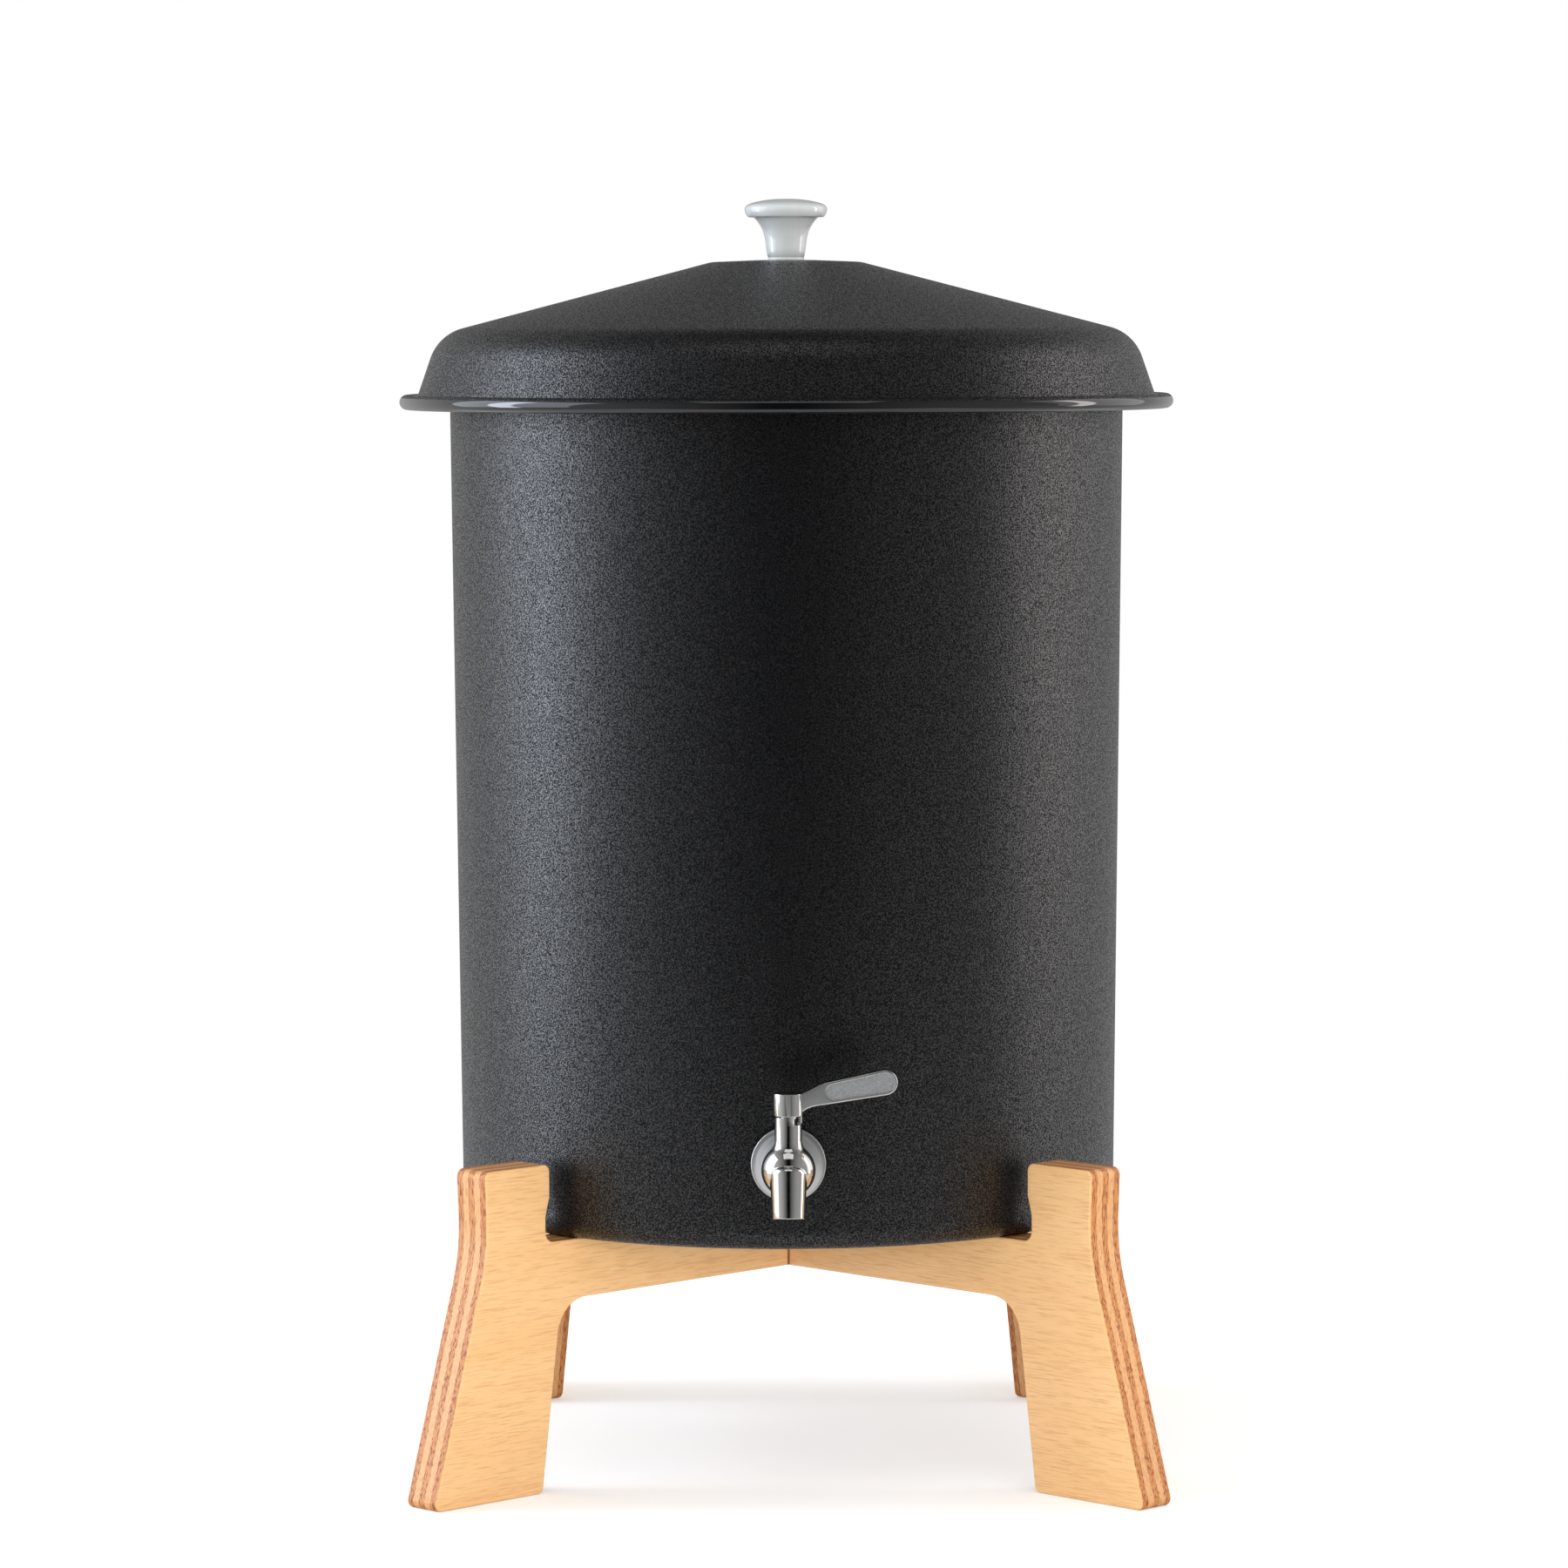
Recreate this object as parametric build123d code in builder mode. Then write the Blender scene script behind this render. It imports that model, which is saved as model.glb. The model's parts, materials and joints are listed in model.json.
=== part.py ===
from build123d import *
import os
from math import asin, cos, degrees, radians, sin, sqrt, tan

# A gravity water filter with a tap. A fired clay filter pot hangs by its lip in an enamelled
# steel container, a pressed lid covers both, and the container stands on two plywood panels
# that interlock in a cross. A quarter-turn tap goes through the container's front wall.
#
# Millimetres, +Z up, and the tap faces -Y. Every piece is drawn about the container's axis and
# then moved back by axis_setback, which puts the origin on the floor under the middle of the
# whole part.

os.makedirs("parts", exist_ok=True)

# ---------------------------------------------------------------- driving dimensions
axis_setback = 5.7              # half of what the tap adds in front

# Stand, measured along one panel from the axis
panel_thickness = 20.0
shelf_height = 116.0            # floor to the seat of the container
crosspiece_depth = 27.6         # height of the bar that joins two legs
post_height = 36.0              # posts above the shelf
post_width = 40.0
post_clearance = 9.5            # between the container's base and a post's lip
lip_relief = 2.5                # the post is cut back under its lip
lip_depth = 15.0
relief_run = 9.0                # height of the slope from the lip to the relief
post_waist_lean = 2.7           # degrees, the post narrows a little on its way down
post_waist_height = 36.4        # from the post's top down to the knee of the leg
foot_flare = 32.2               # how far the foot stands out beyond the post
foot_width = 67.0
leg_inner_lean = 7.8            # degrees
knee_radius = 90.0
arch_radius = 18.0
post_top_radius = 3.5
foot_corner_radius = 3.5
seat_corner_radius = 5.0
relief_radius = 5.0
arris_radius = 1.0
lap_clearance = 0.1             # each side of a panel in the other one's slot

# Container
container_wall = 1.2
container_base_radius = 155.0
container_top_radius = 159.2
container_height = 387.0        # its bottom to the top of its rim
container_corner_radius = 9.0
rim_bead_radius = 3.0

# Filter pot
seat_gap = 0.3                  # between parts that lift off each other
pot_lip_overhang = 1.0          # lip beyond the middle of the container's rim
pot_lip_height = 26.2
pot_lip_edge_radius = 4.0
pot_height = 226.0
pot_wall = 14.0
pot_neck_clearance = 5.5        # inside the container's mouth
pot_base_radius = 118.0
pot_base_thickness = 16.0
pot_base_edge_radius = 14.0
pot_floor_edge_radius = 7.0

# Lid
lid_wall = 1.2
lid_shoulder_overhang = 2.5     # the corner of cone and skirt, beyond the pot's lip
lid_cone_slope = 14.7           # degrees below level
lid_skirt_lean = 19.0           # degrees from upright
lid_shoulder_radius = 22.0
lid_skirt_height = 31.2
lid_top_radius = 35.5
lid_top_fall = 0.9
lid_flat_radius = 14.0
lid_brim_reach = 4.3            # skirt to the middle of the brim's bead
lid_brim_fall = 0.6
lid_brim_radius = 2.4
lid_bead_radius = 3.5

# Knob and its fixing
knob_height = 27.6
knob_cap_radius = 19.5
knob_crown_radius = 15.6        # where the shallow dome turns into the rounded rim
knob_crown_fall = 1.7
knob_crown_middle = (8.2, 0.3)  # a point on the dome: its reach and its fall
knob_rim_drop = 5.2             # top to the widest part of the cap
knob_underside = (18.1, 8.3)    # a point under the rim: its reach and its drop
knob_cap_depth = 13.2
knob_cap_root_radius = 11.8
knob_throat_drop = 16.0
knob_throat_radius = 10.6
knob_stem_radius = 9.2
knob_foot_rise = 3.3            # the stem draws in below this
knob_foot_radius = 8.4
knob_washer_radius = 8.6
knob_washer_thickness = 1.2
knob_screw_radius = 2.5
knob_screw_length = 14.5        # above the lid
knob_screw_head_radius = 4.6
knob_screw_head_height = 3.0
knob_screw_edge_radius = 0.9
knob_recess_width = 1.15        # each arm of the screw's cross recess
knob_recess_depth = 1.5
knob_insert_radius = 4.2
knob_insert_length = 15.0
knob_seal_radius = 9.0
knob_seal_thickness = 1.5
knob_backing_radius = 8.0
knob_backing_thickness = 1.0
screw_clearance = 0.3

# Tap
tap_rise = 40.4                 # container's bottom to the middle of the shank
tap_standoff = 22.5             # container's wall to the tap's upright axis
shank_radius = 8.0
shank_bore_radius = 3.6
shank_clearance = 0.3
seal_thickness = 2.0
seal_radius = 13.0
seal_play = 0.02                # between a seal and the curved wall it is drawn against
escutcheon_radius = 17.0
escutcheon_thickness = 4.6
escutcheon_edge = 1.7           # thickness at its rim
escutcheon_rim = 1.1            # width of the flat rim outside the coned face
escutcheon_land = 1.0           # width of the flat ring round the neck
escutcheon_edge_radius = 0.55
back_washer_radius = 13.5
back_washer_thickness = 1.4
nut_across_flats = 24.0
nut_thickness = 5.0
nut_edge = 0.5
shank_spare = 3.5               # shank that shows behind the nut
neck_radius = 9.0
bulb_radius = 12.25
barrel_radius = 6.15
barrel_height = 24.2            # above the shank's axis
shoulder_radius = 6.0
spout_lean = 8.0                # degrees, the outlet points a little forward
spout_reach = 6.0               # its top in front of the upright axis
spout_rise = 2.5                # its top above the shank's axis
spout_drop = 20.8               # its outlet below the shank's axis
spout_top_radius = 8.5
spout_end_radius = 7.45
spout_shoulder_radius = 3.4
casting_fillet = 1.0            # where the spout and the neck run into the bulb
spout_bore_radius = 5.5
spout_bore_depth = 10.0
passage_radius = 2.8

# Tap plug and lever
plug_radius = 4.2
plug_clearance = 0.08
plug_port_radius = 2.6
plug_foot_drop = 6.4            # plug's foot below the shank's axis
seat_washer_thickness = 1.0
plug_neck_radius = 3.0
plug_collar_radius = 3.7
plug_collar_thickness = 1.2
plug_neck_flat = 2.4            # from the axis to the flat on the neck
hub_gap = 0.6                   # barrel's top to the hub
hub_radius = 6.85
hub_height = 10.2
hub_roof = 1.8
o_ring_section = 0.6
o_ring_heights = (7.5, 13.0)    # above the shank's axis
retaining_height = 17.2
retaining_screw_radius = 1.25
retaining_groove_depth = 0.9
retaining_bite = 0.6            # how far the retaining screw reaches into the plug's groove
set_screw_radius = 1.25
set_screw_rise = 4.6            # above the hub's underside
screw_sink = 0.3                # small screws sit this far below the surface
groove_play = 1.2               # a groove is this much wider than what runs in it
lever_angle = 10.5              # degrees, the paddle rises towards its tip
lever_reach = 49.2
lever_thickness = 4.6
paddle_root_reach = 18.1
paddle_root_radius = 4.95
paddle_tip_radius = 5.7
paddle_margin = 1.25
paddle_recess = 0.55
paddle_rim_radius = 0.35        # rounding where the raised rim falls into the recess
lever_edge_radius = 0.7
hub_edge_radius = 0.4
arm_top_drop = 1.6              # hub's top to where the arm leaves it
arm_foot_rise = 0.2             # hub's underside to where the arm leaves it
arm_crest = (11.2, 2.3)         # a point on the arm's upper edge: its reach and its rise
arm_belly = (10.9, 6.2)         # a point on its lower edge: its reach and its drop
arm_upper_start = 4.1
arm_lower_end = 5.5
notch_depth = 3.4
stop_pin_radius = 0.9
stop_pin_reach = 5.3
stop_pin_rest = 8.0             # degrees from +X
stop_pin_length = 7.2
lever_turn = 90.0               # degrees from shut to open
stop_slack = 1.5                # degrees at each end of the notch

# ---------------------------------------------------------------- shared places
lip_reach = container_base_radius + post_clearance
relief_reach = lip_reach + lip_relief
post_reach = lip_reach + post_width
foot_reach = post_reach + foot_flare
foot_inner_reach = foot_reach - foot_width
crosspiece_bottom = shelf_height - crosspiece_depth
post_top = shelf_height + post_height

container_bottom = shelf_height
container_top = container_bottom + container_height
rim_reach = container_top_radius - container_wall + rim_bead_radius
rim_centre = container_top - rim_bead_radius


def container_radius(height):
    """Outside radius of the container's wall at a height above the floor."""
    share = (height - container_bottom) / (rim_centre - container_bottom)
    return container_base_radius + (container_top_radius - container_base_radius) * share


pot_lip_reach = rim_reach + pot_lip_overhang
pot_lip_bottom = container_top + seat_gap
pot_lip_top = pot_lip_bottom + pot_lip_height
pot_bottom = pot_lip_top - pot_height
pot_neck_reach = container_top_radius - container_wall - pot_neck_clearance

# The lid's shoulder rests on the rounded edge of the pot's lip: two arcs, one in the other.
lid_shoulder_reach = pot_lip_reach + lid_shoulder_overhang
lid_shoulder_turn = 90 - lid_cone_slope - lid_skirt_lean
lid_bisector = radians(lid_cone_slope + 90 + lid_shoulder_turn / 2)
shoulder_corner_gap = lid_shoulder_radius / cos(radians(lid_shoulder_turn / 2))
shoulder_centre_reach = lid_shoulder_reach + shoulder_corner_gap * cos(lid_bisector)
lip_edge_reach = pot_lip_reach - pot_lip_edge_radius
arc_spacing = lid_shoulder_radius - lid_wall - pot_lip_edge_radius - seat_gap
lip_edge_rise = sqrt(arc_spacing**2 - (lip_edge_reach - shoulder_centre_reach) ** 2)
shoulder_centre_height = pot_lip_top - pot_lip_edge_radius - lip_edge_rise
lid_shoulder_height = shoulder_centre_height + shoulder_corner_gap * sin(lid_bisector)
lid_slope = tan(radians(lid_cone_slope))
lid_rim_of_top = lid_shoulder_height + (lid_shoulder_reach - lid_top_radius) * lid_slope
lid_top = lid_rim_of_top + lid_top_fall
skirt_foot = lid_shoulder_height - lid_skirt_height
skirt_foot_reach = lid_shoulder_reach + lid_skirt_height * tan(radians(lid_skirt_lean))
bead_reach = skirt_foot_reach + lid_brim_reach
bead_height = skirt_foot - lid_brim_fall

tap_height = container_bottom + tap_rise
wall_front = container_radius(tap_height)
wall_back = wall_front - container_wall
tap_reach = wall_front + tap_standoff
escutcheon_back = wall_front + seal_thickness
escutcheon_front = escutcheon_back + escutcheon_thickness
back_seal_end = wall_back - seal_thickness
back_washer_end = back_seal_end - back_washer_thickness
nut_end = back_washer_end - nut_thickness
shank_end = nut_end - shank_spare
barrel_top = tap_height + barrel_height
notch_floor = barrel_top - notch_depth
hub_bottom = barrel_top + hub_gap
hub_top = hub_bottom + hub_height
plug_bore_radius = plug_radius + plug_clearance
plug_foot = tap_height - plug_foot_drop
seat_floor = plug_foot - seat_washer_thickness
o_ring_reach = plug_bore_radius - plug_clearance / 2 - o_ring_section
tap_axis = (0, -tap_reach)


def finish(piece, name):
    """Moves a finished piece back to its place, names it and writes its STEP file."""
    placed = piece.moved(Location((0, axis_setback, 0)))
    placed.label = name
    export_step(placed, f"parts/{name}.step")


# ---------------------------------------------------------------- base panels
# Each panel is one router-cut board with two legs, a crossbar and two posts. The first is
# slotted from above and the second from below, so they cross at right angles in a halved joint.
panel_planes = (
    Plane(origin=(0, 0, 0), x_dir=(1, 1, 0), z_dir=(1, -1, 0)),
    Plane(origin=(0, 0, 0), x_dir=(1, -1, 0), z_dir=(-1, -1, 0)),
)


# The outline runs from the shelf round the post and the foot to the arch, and is mirrored.
knee = post_top - post_waist_height
knee_reach = post_reach - post_waist_height * tan(radians(post_waist_lean))
arch_reach = foot_inner_reach - crosspiece_bottom * tan(radians(leg_inner_lean))
with BuildSketch() as panel_face:
    with BuildLine():
        edge = FilletPolyline(
            (0, shelf_height),
            (relief_reach, shelf_height),
            (relief_reach, post_top - lip_depth - relief_run),
            (lip_reach, post_top - lip_depth),
            (lip_reach, post_top),
            (post_reach, post_top),
            (knee_reach, knee),
            (foot_reach, 0),
            (foot_inner_reach, 0),
            (arch_reach, crosspiece_bottom),
            (0, crosspiece_bottom),
            radius=(
                seat_corner_radius,
                relief_radius,
                relief_radius,
                post_top_radius,
                post_top_radius,
                knee_radius,
                foot_corner_radius,
                foot_corner_radius,
                arch_radius,
            ),
        )
        Line(edge @ 1, edge @ 0)
    make_face()
    mirror(about=Plane.YZ)

for panel_name, plane, slot_centre in (
    ("base_panel_a", panel_planes[0], shelf_height),
    ("base_panel_b", panel_planes[1], crosspiece_bottom),
):
    with BuildPart() as base_panel:
        with BuildSketch(plane):
            add(panel_face.sketch)
        extrude(amount=panel_thickness / 2, both=True)
        broad_faces = base_panel.faces().filter_by(Axis((0, 0, 0), plane.z_dir))
        fillet(broad_faces.edges(), radius=arris_radius)
        with BuildSketch(plane):
            with Locations((0, slot_centre)):
                Rectangle(panel_thickness + 2 * lap_clearance, crosspiece_depth)
        extrude(amount=panel_thickness, both=True, mode=Mode.SUBTRACT)
    finish(base_panel.part, panel_name)

# ---------------------------------------------------------------- container
# Pressed from sheet steel, with its rim curled outward round a wire, and enamelled.
with BuildPart() as container_shell:
    with BuildSketch(Plane.XZ):
        with BuildLine():
            wall = FilletPolyline(
                (0, container_bottom),
                (container_base_radius, container_bottom),
                (container_top_radius, rim_centre),
                radius=(container_corner_radius,),
            )
            lining = FilletPolyline(
                (0, container_bottom + container_wall),
                (container_base_radius - container_wall, container_bottom + container_wall),
                (container_top_radius - container_wall, rim_centre),
                radius=(container_corner_radius - container_wall,),
            )
            Line(wall @ 1, lining @ 1)
            Line(wall @ 0, lining @ 0)
        make_face()
        with Locations((rim_reach, rim_centre)):
            Circle(rim_bead_radius)
    revolve(axis=Axis.Z)
    with BuildSketch(Plane.XZ.offset(wall_back - container_corner_radius)):
        with Locations((0, tap_height)):
            Circle(shank_radius + shank_clearance)
    extrude(amount=2 * container_corner_radius, mode=Mode.SUBTRACT)
finish(container_shell.part, "container_shell")

# ---------------------------------------------------------------- filter pot
# Fired clay, open at the top. Its thick lip sits on the container's rim.
with BuildPart() as filter_pot:
    with BuildSketch(Plane.XZ):
        with BuildLine():
            pot_wall_line = FilletPolyline(
                (0, pot_bottom),
                (pot_base_radius, pot_bottom),
                (pot_neck_reach, pot_lip_bottom),
                (pot_lip_reach, pot_lip_bottom),
                (pot_lip_reach, pot_lip_top),
                (pot_neck_reach - pot_wall, pot_lip_top),
                (pot_base_radius - pot_wall, pot_bottom + pot_base_thickness),
                (0, pot_bottom + pot_base_thickness),
                radius=(
                    pot_base_edge_radius,
                    0,
                    0,
                    pot_lip_edge_radius,
                    pot_lip_edge_radius,
                    pot_floor_edge_radius,
                ),
            )
            Line(pot_wall_line @ 1, pot_wall_line @ 0)
        make_face()
    revolve(axis=Axis.Z)
finish(filter_pot.part, "filter_pot")

# ---------------------------------------------------------------- lid
# Pressed sheet steel: a shallow cone, a rounded shoulder and a flared skirt, whose brim is
# curled into a bead.
with BuildPart() as lid_shell:
    with BuildSketch(Plane.XZ):
        with BuildLine():
            FilletPolyline(
                (0, lid_top),
                (lid_flat_radius, lid_top),
                (lid_top_radius, lid_rim_of_top),
                (lid_shoulder_reach, lid_shoulder_height),
                (skirt_foot_reach, skirt_foot),
                (bead_reach, bead_height),
                radius=(
                    lid_flat_radius,
                    lid_flat_radius,
                    lid_shoulder_radius,
                    lid_brim_radius,
                ),
            )
            offset(amount=lid_wall, side=Side.RIGHT)
        make_face()
        with Locations((bead_reach, bead_height)):
            Circle(lid_bead_radius)
    revolve(axis=Axis.Z)
    with BuildSketch(Plane.XY.offset(lid_top)):
        Circle(knob_screw_radius + screw_clearance)
    extrude(amount=lid_wall + lid_top_fall, both=True, mode=Mode.SUBTRACT)
finish(lid_shell.part, "lid_shell")

# ---------------------------------------------------------------- knob and its fixing
# A glazed porcelain mushroom. A brass insert is cemented in its stem, and a pan-head screw
# draws it down on the lid, with a washer above and a seal and a backing washer below.
knob_base = lid_top + knob_washer_thickness
knob_top = knob_base + knob_height
lid_ceiling = lid_top - lid_wall
knob_seal_foot = lid_ceiling - knob_seal_thickness
knob_backing_foot = knob_seal_foot - knob_backing_thickness
knob_insert_top = knob_base + knob_insert_length

with BuildPart() as lid_knob:
    with BuildSketch(Plane.XZ):
        with BuildLine():
            crown = ThreePointArc(
                (0, knob_top),
                (knob_crown_middle[0], knob_top - knob_crown_middle[1]),
                (knob_crown_radius, knob_top - knob_crown_fall),
            )
            rim = Spline(
                crown @ 1,
                (knob_cap_radius, knob_top - knob_rim_drop),
                (knob_underside[0], knob_top - knob_underside[1]),
                (knob_cap_root_radius, knob_top - knob_cap_depth),
                tangents=(crown % 1, (-0.6, -1)),
            )
            stem = Spline(
                rim @ 1,
                (knob_throat_radius, knob_top - knob_throat_drop),
                (knob_stem_radius, knob_base + knob_foot_rise),
                (knob_foot_radius, knob_base),
                tangents=(rim % 1, (-0.6, -1)),
            )
            Polyline(
                stem @ 1,
                (knob_insert_radius, knob_base),
                (knob_insert_radius, knob_insert_top),
                (0, knob_insert_top),
                (0, knob_top),
            )
        make_face()
    revolve(axis=Axis.Z)
finish(lid_knob.part, "lid_knob")


knob_hole_radius = knob_screw_radius + screw_clearance
for ring_name, foot, height, outer_radius, inner_radius in (
    ("knob_washer", lid_top, knob_washer_thickness, knob_washer_radius, knob_hole_radius),
    ("knob_seal", knob_seal_foot, knob_seal_thickness, knob_seal_radius, knob_hole_radius),
    (
        "knob_backing_washer",
        knob_backing_foot,
        knob_backing_thickness,
        knob_backing_radius,
        knob_hole_radius,
    ),
    ("knob_insert", knob_base, knob_insert_length, knob_insert_radius, knob_screw_radius),
):
    with BuildPart() as ring:
        with BuildSketch(Plane.XY.offset(foot)):
            Circle(outer_radius)
            Circle(inner_radius, mode=Mode.SUBTRACT)
        extrude(amount=height)
    finish(ring.part, ring_name)

with BuildPart() as knob_screw:
    with BuildSketch(Plane.XY.offset(knob_backing_foot)):
        Circle(knob_screw_head_radius)
    extrude(amount=-knob_screw_head_height)
    head_edge = knob_screw.faces().sort_by(Axis.Z)[0].edges()
    fillet(head_edge, radius=knob_screw_edge_radius)
    with BuildSketch(Plane.XY.offset(knob_backing_foot - knob_screw_head_height)):
        Rectangle(knob_screw_head_radius, knob_recess_width)
        Rectangle(knob_recess_width, knob_screw_head_radius)
    extrude(amount=knob_recess_depth, mode=Mode.SUBTRACT)
    with BuildSketch(Plane.XY.offset(knob_backing_foot)):
        Circle(knob_screw_radius)
    extrude(amount=lid_top - knob_backing_foot + knob_screw_length)
finish(knob_screw.part, "knob_screw")

# ---------------------------------------------------------------- tap, outside the wall
# Each seal is drawn flat by its nut and takes the slope and curve of the wall on one side.
shank_hole_radius = shank_radius + shank_clearance
lining_bottom = container_bottom + container_wall
lining_base_radius = container_base_radius - container_wall - seal_play
lining_top_radius = container_top_radius - container_wall - seal_play
on_its_base = (Align.CENTER, Align.CENTER, Align.MIN)

with BuildPart() as tap_front_seal:
    with BuildSketch(Plane.XZ.offset(wall_front - seal_thickness)):
        with Locations((0, tap_height)):
            Circle(seal_radius)
            Circle(shank_hole_radius, mode=Mode.SUBTRACT)
    extrude(amount=2 * seal_thickness)
    with Locations((0, 0, container_bottom)):
        Cone(
            container_base_radius,
            container_top_radius,
            rim_centre - container_bottom,
            align=on_its_base,
            mode=Mode.SUBTRACT,
        )
finish(tap_front_seal.part, "tap_front_seal")

with BuildPart() as tap_back_seal:
    with BuildSketch(Plane.XZ.offset(back_seal_end)):
        with Locations((0, tap_height)):
            Circle(seal_radius)
            Circle(shank_hole_radius, mode=Mode.SUBTRACT)
    extrude(amount=2 * seal_thickness)
    with Locations((0, 0, lining_bottom)):
        Cone(
            lining_base_radius,
            lining_top_radius,
            rim_centre - lining_bottom,
            align=on_its_base,
            mode=Mode.INTERSECT,
        )
finish(tap_back_seal.part, "tap_back_seal")

with BuildPart() as tap_escutcheon:
    with BuildSketch(Plane.YZ):
        with BuildLine():
            Polyline(
                (-escutcheon_back, tap_height + shank_hole_radius),
                (-escutcheon_back, tap_height + escutcheon_radius),
                (-escutcheon_back - escutcheon_edge, tap_height + escutcheon_radius),
                (
                    -escutcheon_back - escutcheon_edge,
                    tap_height + escutcheon_radius - escutcheon_rim,
                ),
                (-escutcheon_front, tap_height + neck_radius + escutcheon_land),
                (-escutcheon_front, tap_height + shank_hole_radius),
                close=True,
            )
        make_face()
    revolve(axis=Axis((0, 0, tap_height), (0, 1, 0)))
    outer_edges = tap_escutcheon.edges().filter_by(GeomType.CIRCLE).group_by(SortBy.RADIUS)[-1]
    fillet(outer_edges.sort_by(Axis.Y)[0], radius=escutcheon_edge_radius)
finish(tap_escutcheon.part, "tap_escutcheon")

# The body is an investment casting, polished all over: an upright barrel that runs into a
# round bulb, a lipped spout under its front and a threaded shank behind.
spout_turn = radians(spout_lean)
spout_length = (spout_rise + spout_drop) / cos(spout_turn)
spout_top = Vector(0, -tap_reach - spout_reach, tap_height + spout_rise)
spout_way = Vector(0, -sin(spout_turn), -cos(spout_turn))
spout_section = Plane(spout_top, x_dir=(1, 0, 0), z_dir=(0, -cos(spout_turn), sin(spout_turn)))
outlet = spout_top + spout_way * spout_length
spout_bore_end = outlet - spout_way * spout_bore_depth
chamber_floor = Vector(0, -tap_reach, seat_floor)
passage = spout_bore_end - chamber_floor

shoulder_spread = barrel_radius + shoulder_radius
shoulder_rise = sqrt((bulb_radius + shoulder_radius) ** 2 - shoulder_spread**2)
bulb_share = bulb_radius / (bulb_radius + shoulder_radius)
stop_half_angle = degrees(asin(stop_pin_radius / stop_pin_reach)) + stop_slack
notch_start = stop_pin_rest - lever_turn - stop_half_angle
notch_sweep = lever_turn + 2 * stop_half_angle
retaining_centre = tap_height + retaining_height

with BuildPart() as tap_body:
    with BuildSketch(Plane.XZ.offset(tap_reach)):
        with BuildLine():
            bulb = ThreePointArc(
                (0, tap_height - bulb_radius),
                (bulb_radius, tap_height),
                (shoulder_spread * bulb_share, tap_height + shoulder_rise * bulb_share),
            )
            shoulder = TangentArc(
                bulb @ 1, (barrel_radius, tap_height + shoulder_rise), tangent=bulb % 1
            )
            Polyline(
                shoulder @ 1,
                (barrel_radius, barrel_top),
                (0, barrel_top),
                bulb @ 0,
            )
        make_face()
    revolve(axis=Axis(tap_axis, (0, 0, 1)))
    with BuildSketch(Plane.XZ.offset(escutcheon_front)):
        with Locations((0, tap_height)):
            Circle(neck_radius)
    extrude(amount=tap_reach - escutcheon_front)
    with BuildSketch(spout_section):
        with BuildLine():
            spout_side = FilletPolyline(
                (0, 0),
                (spout_top_radius, 0),
                (spout_end_radius, -spout_length),
                (0, -spout_length),
                radius=(spout_shoulder_radius, 0.4),
            )
            Line(spout_side @ 1, spout_side @ 0)
        make_face()
    revolve(axis=Axis(spout_top, spout_way))
    fillet(tap_body.edges().filter_by(GeomType.BSPLINE), radius=casting_fillet)
    with BuildSketch(Plane.XZ.offset(shank_end)):
        with Locations((0, tap_height)):
            Circle(shank_radius)
    extrude(amount=escutcheon_front - shank_end)
    # Waterways: along the shank, up the plug's chamber and down through the spout
    with BuildSketch(Plane.XZ.offset(shank_end)):
        with Locations((0, tap_height)):
            Circle(shank_bore_radius)
    extrude(amount=tap_reach - shank_end, mode=Mode.SUBTRACT)
    with BuildSketch(Plane.XY.offset(seat_floor)):
        with Locations(tap_axis):
            Circle(plug_bore_radius)
    extrude(amount=barrel_top - seat_floor, mode=Mode.SUBTRACT)
    with BuildSketch(Plane(outlet, x_dir=(1, 0, 0), z_dir=spout_way * -1)):
        Circle(spout_bore_radius)
    extrude(amount=spout_bore_depth, mode=Mode.SUBTRACT)
    with BuildSketch(Plane(chamber_floor, x_dir=(1, 0, 0), z_dir=passage)):
        Circle(passage_radius)
    extrude(amount=passage.length, mode=Mode.SUBTRACT)
    # The notch that the lever's stop pin turns in, and the retaining screw's hole
    with BuildSketch(Plane.XY.offset(barrel_top)):
        with BuildLine():
            sweep = CenterArc(tap_axis, 2 * barrel_radius, notch_start, notch_sweep)
            Polyline(sweep @ 1, tap_axis, sweep @ 0)
        make_face()
    extrude(amount=-notch_depth, mode=Mode.SUBTRACT)
    with BuildSketch(Plane.XZ.offset(tap_reach - barrel_radius)):
        with Locations((0, retaining_centre)):
            Circle(retaining_screw_radius)
    extrude(amount=barrel_radius, mode=Mode.SUBTRACT)
finish(tap_body.part, "tap_body")

# ---------------------------------------------------------------- tap, inside the wall
with BuildPart() as tap_back_washer:
    with BuildSketch(Plane.XZ.offset(back_washer_end)):
        with Locations((0, tap_height)):
            Circle(back_washer_radius)
            Circle(shank_hole_radius, mode=Mode.SUBTRACT)
    extrude(amount=back_washer_thickness)
finish(tap_back_washer.part, "tap_back_washer")

with BuildPart() as tap_nut:
    with BuildSketch(Plane.XZ.offset(nut_end)):
        with Locations((0, tap_height)):
            RegularPolygon(nut_across_flats / 2, 6, major_radius=False)
            Circle(shank_radius, mode=Mode.SUBTRACT)
    extrude(amount=nut_thickness)
    corners = tap_nut.edges().filter_by(GeomType.CIRCLE)
    chamfer(corners, length=nut_edge)
finish(tap_nut.part, "tap_nut")

# ---------------------------------------------------------------- tap plug and its seals
# A ground stainless plug. Its side port faces away from the shank when the tap is shut, and
# meets the shank's bore when the lever has turned to the front.
port_heading = radians(90 + lever_turn)
port_way = (cos(port_heading), sin(port_heading), 0)
port_top = tap_height + plug_port_radius

with BuildSketch() as neck_section:
    Circle(plug_neck_radius)
    with Locations((0, plug_neck_flat + plug_neck_radius)):
        Rectangle(2 * plug_neck_radius, 2 * plug_neck_radius, mode=Mode.SUBTRACT)

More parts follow.
